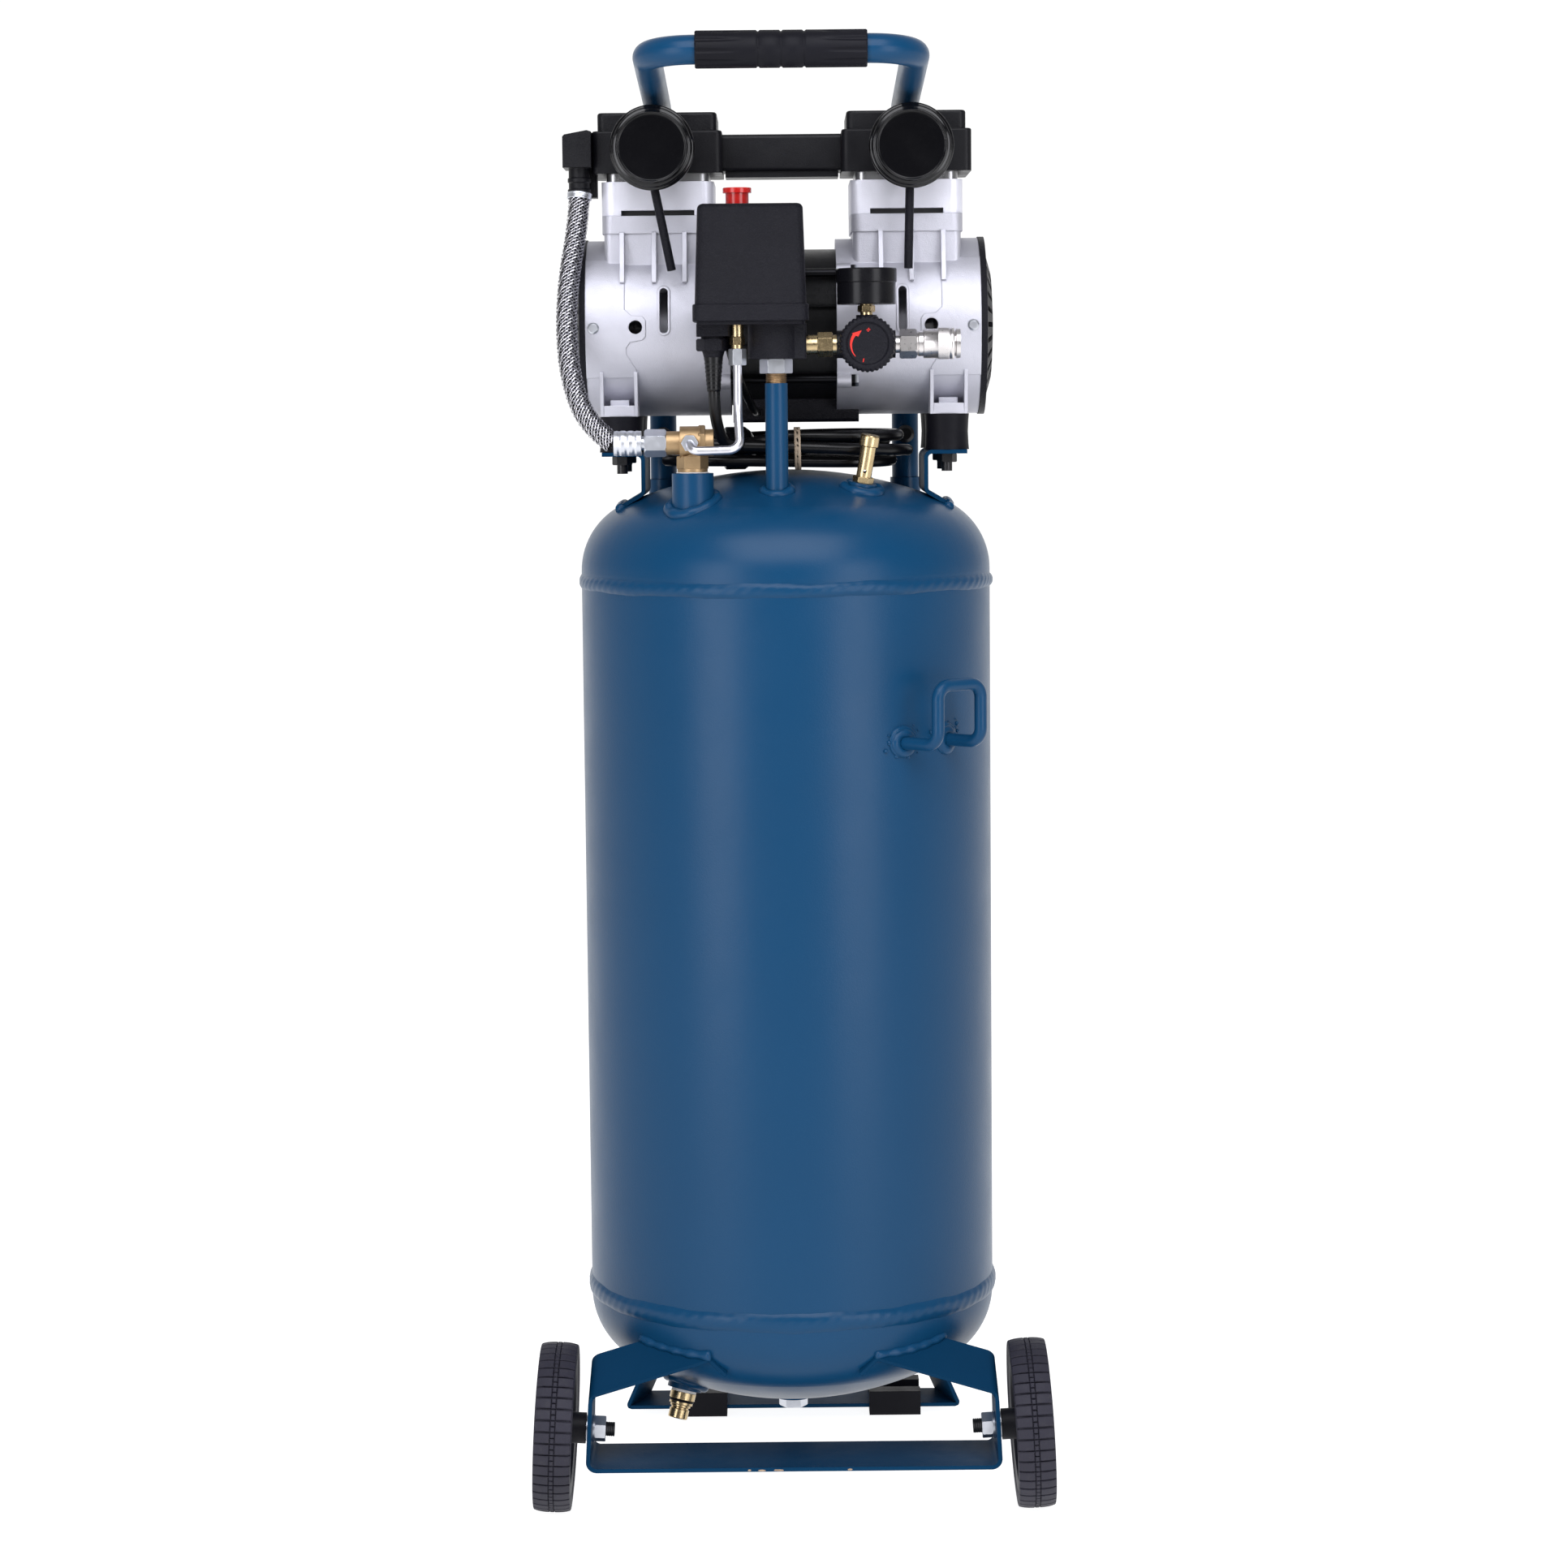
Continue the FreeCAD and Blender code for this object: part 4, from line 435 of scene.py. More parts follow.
def spatter(name, centre, normal, reach, count):
    """Beads of weld metal that landed round a joint."""
    parts = []
    side = normal.orthogonal().normalized()
    up = normal.cross(side)
    for _ in range(count):
        a, far = random.uniform(0, 6.28), reach * random.uniform(0.75, 1.5)
        middle = centre + (side * math.cos(a) + up * math.sin(a)) * far
        size = random.uniform(0.0006, 0.0017)
        vertices, faces = [], []
        for height, share in SPATTER_BODY:
            for j in range(SPATTER_SIDES):
                b = 2 * math.pi * j / SPATTER_SIDES
                around = (side * math.cos(b) + up * math.sin(b)) * size * share
                vertices.append(middle + normal * size * height + around)
        last = len(vertices) - SPATTER_SIDES
        for row in range(0, last, SPATTER_SIDES):
            above = row + SPATTER_SIDES
            for j in range(SPATTER_SIDES):
                k = (j + 1) % SPATTER_SIDES
                faces.append((row + j, row + k, above + k, above + j))
        faces.append(tuple(range(last, last + SPATTER_SIDES)))
        parts.append((vertices, faces))
    return piece(name, joined(parts), "tank_paint", "frame")


def collar(name, surface, centre, axis, radius, bead, count=70):
    """A bead round a fitting where it meets the tank: rays along the fitting's axis find the steel."""
    side = axis.orthogonal().normalized()
    up = axis.cross(side)
    path = []
    for i in range(count):
        a = 2 * math.pi * i / count
        start = centre + (side * math.cos(a) + up * math.sin(a)) * radius + axis * 0.12
        hit = surface.ray_cast(start, -axis)[0]
        if hit is not None:
            path.append(hit)
    return weld_bead(name, path, bead)


RISER, OUTLET = (-5.6, -90), (-67, -92)  # the tank's upper pipes, in millimetres from its axis
HOOK_ROOTS, HOOK_HEIGHT = ((83.5, -128.8), (115.5, -101.1)), 573.5
HOOK_OUT = Vector((24.5, -22.1, 0)).normalized()
SAFETY_BASE, HANDLE_FOOT = (57, -70, 760), (94, 105, 700)
CARRIER_X, CARRIER_FROM, CARRIER_TO = 121.5, -37, 78  # the pump carriers' line on the tank's top
ARM_END, ARM_FRONT, ARM_BACK, ARM_BASE, ARM_RISE = 150.0, -138, -101, 95.6, 0.30  # the front strap's arms

# how tall and proud each seam's bead is, then each fitting's weld: the ring's radius and the bead's
TOP_BEAD, BOTTOM_BEAD = (0.0112, 0.0022), (0.0150, 0.0026)
HOOK_WELD, HOOK_FLOW, RISER_WELD = (0.0064, 0.0042), (0.0095, 0.0024), (0.0098, 0.0034)
OUTLET_WELD, SAFETY_WELD = (0.0172, 0.0042), (0.0125, 0.0042)
DRAIN_WELD, HANDLE_WELD = (0.0145, 0.0035), (0.0128, 0.0032)
CARRIER_BEAD, ARM_BEAD = 0.0036, 0.0034


def add_welds():
    """The tank's two seams and the beads of every part that is welded to it."""
    top, bottom, barrel = (nearest_surface(n) for n in ("tank_top_head", "tank_bottom_head", "tank_barrel"))
    seam_bead("weld_top_seam", TOP_SEAM, *TOP_BEAD)
    seam_bead("weld_bottom_seam", BOTTOM_SEAM - 0.0015, *BOTTOM_BEAD)
    for i, (x, y) in enumerate(HOOK_ROOTS):
        root = at(x, y, HOOK_HEIGHT)
        collar("weld_hook_%d" % i, barrel, root, HOOK_OUT, *HOOK_WELD)
        collar("weld_hook_flow_%d" % i, barrel, root + UP * MM, HOOK_OUT, *HOOK_FLOW)
        spatter("spatter_hook_%d" % i, root, root.xy.to_3d().normalized(), 0.0125, 16)
    collar("weld_riser", top, at(*RISER, 750), UP, *RISER_WELD)
    collar("weld_outlet", top, at(*OUTLET, 730), UP, *OUTLET_WELD)
    valve_axis = Vector(joints["valve_cap_pull"]["axis"])
    collar("weld_safety", top, at(*SAFETY_BASE) - valve_axis * 0.02, valve_axis, *SAFETY_WELD)
    drain_axis = Vector(joints["drain_turn"]["axis"])
    drain = Vector(joints["drain_turn"]["pos_m"])
    collar("weld_drain", bottom, drain - drain_axis * 0.03, drain_axis, *DRAIN_WELD)
    handle_x, handle_y, handle_z = HANDLE_FOOT
    for side, word in ((-1, "left"), (1, "right")):
        collar("weld_handle_" + word, top, at(side * handle_x, handle_y, handle_z), UP, *HANDLE_WELD)
        foot = [top.ray_cast(at(side * CARRIER_X, y, 800), -UP)[0]
                for y in range(CARRIER_FROM, CARRIER_TO, 2)]
        weld_bead("weld_carrier_" + word, foot, CARRIER_BEAD, closed=False, lump=0.25)
        arm = []
        for i in range(46):
            x = ARM_END - i * 2.0
            height = (ARM_BASE + ARM_RISE * (ARM_END - x)) * MM + 0.001
            start = Vector((side * x * MM, TANK.y + ARM_FRONT * MM, height))
            hit = bottom.ray_cast(start, Vector((0, 1, 0.6)).normalized())[0]
            if hit is not None and hit.y < TANK.y + ARM_BACK * MM:
                arm.append(hit)
        weld_bead("weld_arm_" + word, arm, ARM_BEAD, closed=False, lump=0.3)


# ---------------------------------------------------------------- tyres with their tread


TYRE_RADIUS, TYRE_WIDTH, TYRE_BEAD, TREAD_DEPTH = 62.5 * MM, 28 * MM, 50.2 * MM, 2.2 * MM
BLOCKS, RIBS = 46, 92  # blocks in each outer row of the tread, ribs in its middle


def wheel_frame(side_name):
    """The wheel's centre and a rotation that turns +Z on to its axle, pointing outwards."""
    joint = joints["wheel_%s_spin" % side_name]
    axis = Vector(joint["axis"])
    return Vector(joint["pos_m"]), axis.to_track_quat("Z", "Y").to_matrix()


def tread_block(angle, span, z_low, z_high, low, high, crown=0.0):
    """One block of rubber on the tyre's face, crowned across the tyre, its edges drawn in towards its top."""
    columns = 6
    rings = ((0.0, None), (0.0, 0.0004), (0.0004, 0.0))
    vertices, faces = [], []
    for inset, drop in rings:
        turn = span / 2 - inset / high
        line = []
        for c in range(columns):
            z = z_low + inset + (z_high - z_low - 2 * inset) * c / (columns - 1)
            top = high - crown * abs(z / (0.5 * TYRE_WIDTH)) ** 3
            line.append((z, low if drop is None else top - drop))
        path = [(angle - turn, z, r) for z, r in line] + [(angle + turn, z, r) for z, r in reversed(line)]
        vertices += [Vector((r * math.cos(a), r * math.sin(a), z)) for a, z, r in path]
    around = 2 * columns
    for row in (0, around):
        for i in range(around):
            j = (i + 1) % around
            faces.append((row + j, row + i, row + around + i, row + around + j))
    top = 2 * around
    for c in range(columns - 1):
        faces.append((top + c, top + c + 1, top + around - 2 - c, top + around - 1 - c))
    return vertices, faces


def tyre(side_name):
    """A solid rubber tyre: a round-shouldered ring with two rows of blocks and ribs between them."""
    radius, bead = TYRE_RADIUS, TYRE_BEAD
    ground = radius - TREAD_DEPTH
    half = TYRE_WIDTH / 2
    profile = [(bead, -half + 0.0015), (bead + 0.001, -half + 0.0006), (ground - 0.006, -half),
               (ground - 0.0035, -half + 0.0003)]
    for i in range(7):
        a = math.pi / 2 * i / 6
        profile.append((ground - 0.003 + 0.003 * math.sin(a), -half + 0.0005 + 0.003 * (1 - math.cos(a))))
    profile += [(r, -z) for r, z in reversed(profile)]
    steps = 160
    vertices, faces = [], []
    for i in range(steps):
        a = 2 * math.pi * i / steps
        vertices += [Vector((r * math.cos(a), r * math.sin(a), z)) for r, z in profile]
    rows = len(profile)
    for i in range(steps):
        for j in range(rows):
            a, b = i * rows + j, ((i + 1) % steps) * rows + j
            k = (j + 1) % rows
            faces.append((a, b, ((i + 1) % steps) * rows + k, i * rows + k))
    parts = [(vertices, faces)]
    for i in range(BLOCKS):
        a = 2 * math.pi * i / BLOCKS
        span = 2 * math.pi / BLOCKS - 0.0011 / radius
        parts.append(tread_block(a, span, 0.0019, half - 0.0004, ground - 0.003, radius, 0.0018))
        parts.append(tread_block(a, span, -half + 0.0004, -0.0019, ground - 0.003, radius, 0.0018))
    for i in range(RIBS):
        a = 2 * math.pi * (i + 0.5) / RIBS
        span = 2 * math.pi / RIBS - 0.0007 / radius
        parts.append(tread_block(a, span, -0.0016, 0.0016, ground - 0.001, radius))
    vertices, faces = joined(parts)
    centre, turn = wheel_frame(side_name)
    name = "tread_" + side_name
    mesh = mesh_of(name, [centre + turn @ v for v in vertices], faces, smooth=False)
    for polygon in mesh.polygons[:steps * rows]:
        polygon.use_smooth = True
    made = new_object(name, mesh, "tyre", "wheel_" + side_name)
    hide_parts("tyre_" + side_name)


# ---------------------------------------------------------------- turned pieces

GRIP_FLUTES, KNOB_TEETH, KNURLS = 10, 36, 26
FLUTE_DEPTH, TOOTH_DEPTH, KNURL_DEPTH = 0.075, 0.045, 0.030  # shares of the radius
TOOTHED_FROM = 18.5

def eased(profile, radius, steps=4):
    """A profile of (radius, height) points with each inner corner rounded."""
    points = [Vector((r, h, 0)) for r, h in profile]
    made = [points[0]]
    for before, corner, after in zip(points, points[1:], points[2:]):
        back, ahead = before - corner, after - corner
        reach = min(radius, 0.45 * back.length, 0.45 * ahead.length)
        start, end = corner + back.normalized() * reach, corner + ahead.normalized() * reach
        for i in range(steps + 1):
            t = i / steps
            made.append(start * (1 - t) ** 2 + corner * 2 * t * (1 - t) + end * t * t)
    made.append(points[-1])
    return [(p.x, p.y) for p in made]


def lathe_points(profile, base, axis, segments=96, shape=None):
    """A turned skin from a profile in millimetres, its radius multiplied by shape(angle, radius, height)."""
    side = axis.orthogonal().normalized()
    up = axis.cross(side)
    vertices, faces = [], []
    for i in range(segments):
        a = 2 * math.pi * i / segments
        for r, h in profile:
            reach = r * (shape(a, r, h) if shape else 1.0)
            vertices.append(base + (side * math.cos(a) + up * math.sin(a)) * reach * MM + axis * h * MM)
    rows = len(profile)
    for i in range(segments):
        for j in range(rows - 1):
            a, b = i * rows + j, ((i + 1) % segments) * rows + j
            faces.append((a, b, b + 1, a + 1))
    return vertices, faces


def add_filter_covers():
    """The glossy stepped lids of both intake filters."""
    profile = [(0.0, 11.4), (22.0, 11.6), (24.2, 11.7), (24.7, 12.5), (25.6, 12.5), (26.1, 11.4), (26.1, 9.6),
               (28.0, 9.2), (28.9, 8.3), (28.9, 5.5), (30.2, 5.0), (31.0, 4.2), (31.0, 0.8), (30.2, 0.0),
               (0.0, 0.0)]
    low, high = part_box("filter_covers")
    parts = []
    for side in (-1, 1):
        base = Vector((side * 94.5 * MM, high.y, (low.z + high.z) / 2))
        parts.append(lathe_points(eased(profile, 0.5), base, -AHEAD, 120))
    lids = piece("filter_lids", joined(parts), "gloss_black", "frame")
    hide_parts("filter_covers")


def add_grip():
    """A rubber grip with three rings in its middle and tapering flutes at both ends."""
    low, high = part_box("handle_grip")
    half, reach = (high.x - low.x) / 2 / MM, (high.z - low.z) / 2 / MM
    profile = [(11.0, -half + 0.5), (11.2, -half), (reach - 0.6, -half), (reach, -half + 0.8)]
    profile += [(reach, -half + 1.5 + i * 1.5) for i in range(28)]
    for x in (-16, 0, 16):
        profile += [(reach, x - 1.3), (reach - 0.9, x - 0.35), (reach - 0.9, x + 0.35), (reach, x + 1.3)]
    profile += [(r, -h) for r, h in reversed(profile[4:32])]
    profile += [(reach, half - 0.8), (reach - 0.6, half), (11.2, half), (11.0, half - 0.5)]

    def flute(angle, r, h):
        share = (abs(h) - (half - 33)) / 26
        if share <= 0 or r < reach - 0.1:
            return 1.0
        width = 0.10 + 0.05 * min(1.0, share)
        nearest = abs((angle / (2 * math.pi / GRIP_FLUTES) + 0.5) % 1 - 0.5) * 2 * math.pi / GRIP_FLUTES
        dip = max(0.0, 1 - nearest / width)
        return 1 - FLUTE_DEPTH * min(1.0, share * 1.6) * min(1.0, dip * 1.6)

    base = Vector(((low.x + high.x) / 2, (low.y + high.y) / 2, (low.z + high.z) / 2))
    grip = piece("grip", lathe_points(profile, base, RIGHT, 200, flute), "rubber", "frame")
    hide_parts("handle_grip")


def add_knob():
    """The pressure knob: a dished face inside a rim of fine teeth in two rows."""
    low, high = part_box("regulator_knob")
    profile = [(15.9, 0.0), (17.5, 0.0), (17.5, 1.6), (19.6, 2.6), (20.5, 3.6), (20.5, 10.2), (19.7, 10.8),
               (19.7, 11.6), (20.5, 12.2), (20.5, 18.6), (19.4, 20.6), (17.6, 21.4), (15.8, 21.5),
               (15.0, 21.0), (14.6, 20.0), (0.0, 20.0)]

    def teeth(angle, r, h):
        wave = 0.5 + 0.5 * math.cos(angle * KNOB_TEETH)
        return 1 - (TOOTH_DEPTH * wave ** 1.5 if r > TOOTHED_FROM else 0.0)

    base = Vector(((low.x + high.x) / 2, high.y, (low.z + high.z) / 2))
    shape = lathe_points(eased(profile, 0.35, 3), base, -AHEAD, 360, teeth)
    knob = piece("knob", shape, "black_plastic", "knob")
    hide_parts("regulator_knob")


def add_coupler_sleeve():
    """The coupler's sleeve with its band of crossed knurling."""
    low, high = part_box("coupler_sleeve")
    band = [(11.45, 10.9 + 0.25 * i) for i in range(30)]
    profile = [(9.1, 0.0), (10.2, 0.0), (10.6, 0.5), (10.6, 10.3), (11.2, 10.6)] + band
    profile += [(11.0, 18.6), (11.0, 19.1), (11.4, 19.5), (11.4, 21.9), (10.9, 22.4), (9.1, 22.4), (9.1, 0.0)]

    def knurl(angle, r, h):
        if r < 11.42 or h > 18.3:
            return 1.0
        crossed = (abs(math.sin(angle * KNURLS + h * 1.9)), abs(math.sin(angle * KNURLS - h * 1.9)))
        return 1 - KNURL_DEPTH * max(crossed)

    base = Vector((low.x, (low.y + high.y) / 2, (low.z + high.z) / 2))
    sleeve = piece("sleeve", lathe_points(profile, base, RIGHT, 312, knurl), "nickel", "sleeve")
    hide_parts("coupler_sleeve")


def thread(name, base, axis, radius, length, pitch, depth, material):
    """A screw thread whose skin winds up, closed at its end."""
    side = axis.orthogonal().normalized()
    up = axis.cross(side)
    around, rows = 40, int(length / pitch * 8)
    vertices, faces = [], []
    for j in range(rows + 1):
        h = length * j / rows
        for i in range(around):
            a = 2 * math.pi * i / around
            wind = (h / pitch - i / around) % 1
            reach = radius - depth * abs(2 * wind - 1) if j < rows else radius - depth
            vertices.append(base + (side * math.cos(a) + up * math.sin(a)) * reach + axis * h)
    for j in range(rows):
        for i in range(around):
            k = (i + 1) % around
            faces.append((j * around + i, j * around + k, j * around + around + k, j * around + around + i))
    faces.append(tuple(range(rows * around, (rows + 1) * around)))
    return piece(name, (vertices, faces), material, "frame")


def add_strain_relief():
    """The tapered, ribbed sleeve round the mains lead under its gland."""
    profile = [(4.3, 24.0), (4.75, 24.0)]
    for i in range(7):
        h = 22.5 - 3.0 * i
        profile += [(4.9 + 0.24 * i, h), (5.2 + 0.26 * i, h - 0.8), (4.95 + 0.25 * i, h - 1.8)]
    profile += [(7.0, 0.4), (7.0, -0.6)]
    x, y, _ = CORD_LEAD[0]
    piece("strain_relief", lathe_points(profile, at(x, y, 851.4), -UP, 40), "cable", "frame")


def add_painted_shade_gaps():
    """Black boxes behind the slots of both cylinders: painted shade for the cooling gaps, where no light reaches.
    """
    low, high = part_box("cylinder_blocks")
    parts = []
    for side in (-1, 1):
        for front, back in ((low.y + 5.0 * MM, low.y + 7.8 * MM), (high.y - 7.8 * MM, high.y - 5.0 * MM)):
            x0, x1 = sorted((side * 65.2 * MM, side * 118.8 * MM))
            z0, z1 = low.z + 0.1 * MM, low.z + 3.9 * MM
            outline = ((x0, front), (x1, front), (x1, back), (x0, back))
            corners = [Vector((x, y, z)) for z in (z0, z1) for x, y in outline]
            sides = [(i, (i + 1) % 4, (i + 1) % 4 + 4, i + 4) for i in range(4)]
            parts.append((corners, sides + [(3, 2, 1, 0), (4, 5, 6, 7)]))
    # black boxes put in as painted shade, not a part of the pump
    piece("painted_shade_gaps", joined(parts), "dial_black", "frame", smooth=False)


CHIPS = ((-33.0, 3.0, 0.3), (-24.0, 7.0, 0.15), (-11.5, 9.0, 0.2), (41.0, 4.0, 0.3))  # place, width, height


def add_chips():
    """Bare spots where the paint has chipped off the strap's front edge."""
    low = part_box("axle_bracket")[0]
    for i, (x, width, lift) in enumerate(CHIPS):
        outline = []
        for k in range(14):
            a = 2 * math.pi * k / 14
            ragged = random.uniform(0.7, 1.0)
            along = x + width / 2 * math.cos(a) * ragged
            outline.append((along * MM, (0.9 + lift + 0.75 * math.sin(a) * ragged) * MM))
        origin = Vector((0, low.y + 0.02 * MM, low.z))
        flat_shape("chip_%d" % i, outline, 0.06 * MM, origin, RIGHT, UP, "bare_steel", "frame")


# ---------------------------------------------------------------- braided hose


def smooth_line(route, step):
    """Points an even distance apart on the NURBS spline that has the route's points as its control points."""
    curve = bpy.data.curves.new("route", "CURVE")
    curve.dimensions = "3D"
    curve.resolution_u = 24
    spline = curve.splines.new("NURBS")
    spline.points.add(len(route) - 1)
    for control, point in zip(spline.points, route):
        control.co = (*point, 1.0)
    spline.order_u = 3
    spline.use_endpoint_u = True
    holder = bpy.data.objects.new("route", curve)
    mesh = bpy.data.meshes.new_from_object(holder)
    line = [v.co.copy() for v in mesh.vertices]
    bpy.data.meshes.remove(mesh)
    bpy.data.objects.remove(holder)
    bpy.data.curves.remove(curve)
    made, left = [line[0].copy()], step
    for a, b in zip(line, line[1:]):
        length = (b - a).length
        while length > left:
            a = a + (b - a).normalized() * left
            length -= left
            made.append(a.copy())
            left = step
        left -= length
    return made


def frames_along(line):
    """Point, side and up vectors at each point of a line, with no twist."""
    side, made = None, []
    for i, point in enumerate(line):
        along = (line[min(i + 1, len(line) - 1)] - line[max(i - 1, 0)]).normalized()
        if side is None:
            side = along.orthogonal().normalized()
        else:
            side = (side - along * side.dot(along)).normalized()
        made.append((point, side, along.cross(side)))
    return made


HOSE_ROUTE = [(-149.5, -28.0, 973.0), (-151.0, -31.0, 950.0), (-157.5, -46.0, 912.0), (-159.3, -62.0, 872.0),
              (-155.0, -77.0, 834.0), (-142.0, -89.0, 803.0), (-124.0, -92.0, 790.5)]
HOSE_STEP = 0.0009
HOSE_CORE, WEAVE_RADIUS, WEAVE_DEPTH = 0.0069, 0.00748, 0.00042
RIBBONS, RIBBON_PITCH, RIBBON_SHARE, RIBBON_CROWN = 12, 0.031, 0.36, 0.00016


def add_braided_hose():
    """A dark core under two sets of steel ribbons that pass over and under each other; the set that winds the
    other way is painted darker as painted shade.
    """
    line = smooth_line([at(*point) for point in HOSE_ROUTE], HOSE_STEP)
    core = piece("hose_core", tube_points(line, HOSE_CORE, 20), "braid_core", "frame")
    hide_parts("braided_hose")
    stations = frames_along(line)
    width = RIBBON_SHARE * 2 * math.pi / RIBBONS
    # one set of ribbons takes the darker copy of the steel as painted shade; both sets are the same steel
    for direction, material in ((1, "braid"), (-1, "braid_painted_shade")):
        parts = []
        for k in range(RIBBONS):
            vertices, faces = [], []
            for i, (point, side, up) in enumerate(stations):
                wound = direction * 2 * math.pi * i * HOSE_STEP / RIBBON_PITCH
                turn = wound + 2 * math.pi * k / RIBBONS
                crossing = (turn + wound) * RIBBONS / 2
                weave = math.sin(crossing / 2 + (math.pi if k % 2 else 0))
                reach = WEAVE_RADIUS + WEAVE_DEPTH * direction * weave
                for j in range(5):
                    a = turn + (j / 4 - 0.5) * width
                    crown = RIBBON_CROWN * (1 - (j / 2 - 1) ** 2)
                    vertices.append(point + (side * math.cos(a) + up * math.sin(a)) * (reach + crown))
            for i in range(len(stations) - 1):
                for j in range(4):
                    a = i * 5 + j
                    faces.append((a, a + 1, a + 6, a + 5) if direction > 0 else (a, a + 5, a + 6, a + 1))
            parts.append((vertices, faces))
        piece("hose_" + material, joined(parts), material, "frame")
    ahead = (line[14] - line[0]).normalized()
    profile = [(8.0, 0.0), (9.0, -0.1), (9.2, 0.6), (8.95, 1.2), (8.95, 3.4), (9.2, 4.0), (9.0, 4.6),
               (8.1, 4.6)]
    shape = lathe_points(eased(profile, 0.3), line[0] - ahead * 0.0008, ahead, 60)
    piece("hose_ring", shape, "zinc", "frame")


# ---------------------------------------------------------------- power cord


CORD_LEAD = [(-51.0, -90.0, 856.0), (-51.0, -90.0, 828.0), (-50.0, -82.0, 805.0), (-43.0, -62.0, 785.0)]
CORD_TAIL = [(31.5, 22.6, 785.0), (10.0, 8.5, 785.0), (-12.0, 5.5, 785.0)]
CORD_RADIUS = 4.25
HANK = {"straight": 43.0, "turn": 42.0, "y": -5.0, "z": 785.0, "reach": 9.6}
HANK_TURNS, POINTS_PER_TURN = 3.56, 22
TIE_REACH, TIE_STEPS = 15.3, 60


def hank_point(share, phase):
    """A point of a turn of the hank: share goes once round the stadium, phase round its section."""
    straight, turn = HANK["straight"], HANK["turn"]
    run = share * (4 * straight + 2 * math.pi * turn)
    first, bend = 2 * straight, math.pi * turn
    if run < first:
        centre, out = Vector((-straight + run, -turn, 0)), Vector((0, -1, 0))
    elif run < first + bend:
        a = -math.pi / 2 + (run - first) / turn
        out = Vector((math.cos(a), math.sin(a), 0))
        centre = Vector((straight, 0, 0)) + out * turn
    elif run < 2 * first + bend:
        centre, out = Vector((straight - (run - first - bend), turn, 0)), Vector((0, 1, 0))
    else:
        a = math.pi / 2 + (run - 2 * first - bend) / turn
        out = Vector((math.cos(a), math.sin(a), 0))
        centre = Vector((-straight, 0, 0)) + out * turn
    loose = 1 + 0.10 * math.sin(2 * math.pi * share * 2 + phase)
    offset = out * math.cos(phase) * HANK["reach"] * loose
    offset += Vector((0, 0, math.sin(phase) * HANK["reach"] * loose))
    return centre + offset + Vector((0, HANK["y"], HANK["z"]))


def add_power_cord():
    """One spline from the gland through three and a half turns of the hank to the plug inside it."""
    points = [Vector(p) for p in CORD_LEAD]
    for i in range(2, int(HANK_TURNS * POINTS_PER_TURN) + 1):
        turn = i / POINTS_PER_TURN
        points.append(hank_point(turn % 1.0, math.radians(115 - 97 * turn)))
    points += [Vector(p) for p in CORD_TAIL[1:]]
    curve = bpy.data.curves.new("power_cord", "CURVE")
    curve.dimensions = "3D"
    curve.bevel_depth = CORD_RADIUS * MM
    curve.bevel_resolution = 6
    curve.resolution_u = 8
    spline = curve.splines.new("NURBS")
    spline.points.add(len(points) - 1)
    for control, point in zip(spline.points, points):
        control.co = (*at(*point), 1.0)
    spline.order_u = 3
    spline.use_endpoint_u = True
    cord = new_object("power_cord", curve, "cable", "frame")
    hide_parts("cord_lead", "cord_hank")


def add_cord_tie():
    """A twisted paper tie round the hank's front run."""
    vertices = []
    for i in range(TIE_STEPS):
        a = 2 * math.pi * i / TIE_STEPS * 2
        middle = Vector((8 + 3.2 * i / TIE_STEPS, HANK["y"] - HANK["turn"], HANK["z"]))
        point = at(*(middle + Vector((0, math.cos(a), math.sin(a))) * TIE_REACH))
        vertices += [point + RIGHT * dx * MM for dx in (-1.5, 1.5)]
    faces = [(2 * i, 2 * i + 1, 2 * i + 3, 2 * i + 2) for i in range(TIE_STEPS - 1)]
    tie = piece("cord_tie", (vertices, faces), "tie", "frame")
    thick = tie.modifiers.new("thickness", "SOLIDIFY")
    thick.thickness = 0.0006


# ---------------------------------------------------------------- small marks and details


def flat_shape(name, outline, thickness, origin, x_axis, y_axis, material, body):
    """A thin raised shape on a face: an outline in the face's own two directions."""
    normal = x_axis.cross(y_axis)
    low = [origin + x_axis * x + y_axis * y for x, y in outline]
    high = [p + normal * thickness for p in low]
    count = len(outline)
    faces = [tuple(range(count, 2 * count)), tuple(reversed(range(count)))]
    faces += [(i, (i + 1) % count, count + (i + 1) % count, count + i) for i in range(count)]
    return piece(name, (low + high, faces), material, body, smooth=False)


def add_knob_marks():
    """A curved arrow with a plus and a minus on the pressure knob."""
    low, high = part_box("regulator_knob")
    face = Vector(((low.x + high.x) / 2, low.y + 1.6 * MM, (low.z + high.z) / 2))
    steps = 24
    first, last = math.radians(226), math.radians(146)

    def polar(reach, angle):
        return (reach * MM * math.cos(angle), reach * MM * math.sin(angle))

    outer, inner = [], []
    for i in range(steps + 1):
        t = i / steps
        a = first + (last - first) * t
        reach, half = 12.6 - 1.2 * t, 0.22 + 0.95 * t
        outer.append(polar(reach + half, a))
        inner.append(polar(reach - half, a))
    head = [polar(13.6, last + 0.02), polar(10.4, math.radians(114)), polar(8.4, last - 0.04)]
    outline = outer + head + inner[::-1]
    flat_shape("knob_arrow", outline[::-1], 0.25 * MM, face, RIGHT, UP, "red_mark", "knob")
    bars = [(0.6, 9.8, 2.7, 0.7), (0.6, 9.8, 0.7, 2.7), (-3.1, -11.8, 0.75, 2.6)]
    for i, (x, y, width, height) in enumerate(bars):
        outline = [((x + sx * width / 2 + sy * 0.25) * MM, (y + sy * height / 2) * MM)
                   for sx, sy in ((-1, -1), (-1, 1), (1, 1), (1, -1))]
        flat_shape("knob_mark_%d" % i, outline[::-1], 0.2 * MM, face, RIGHT, UP, "red_mark", "knob")


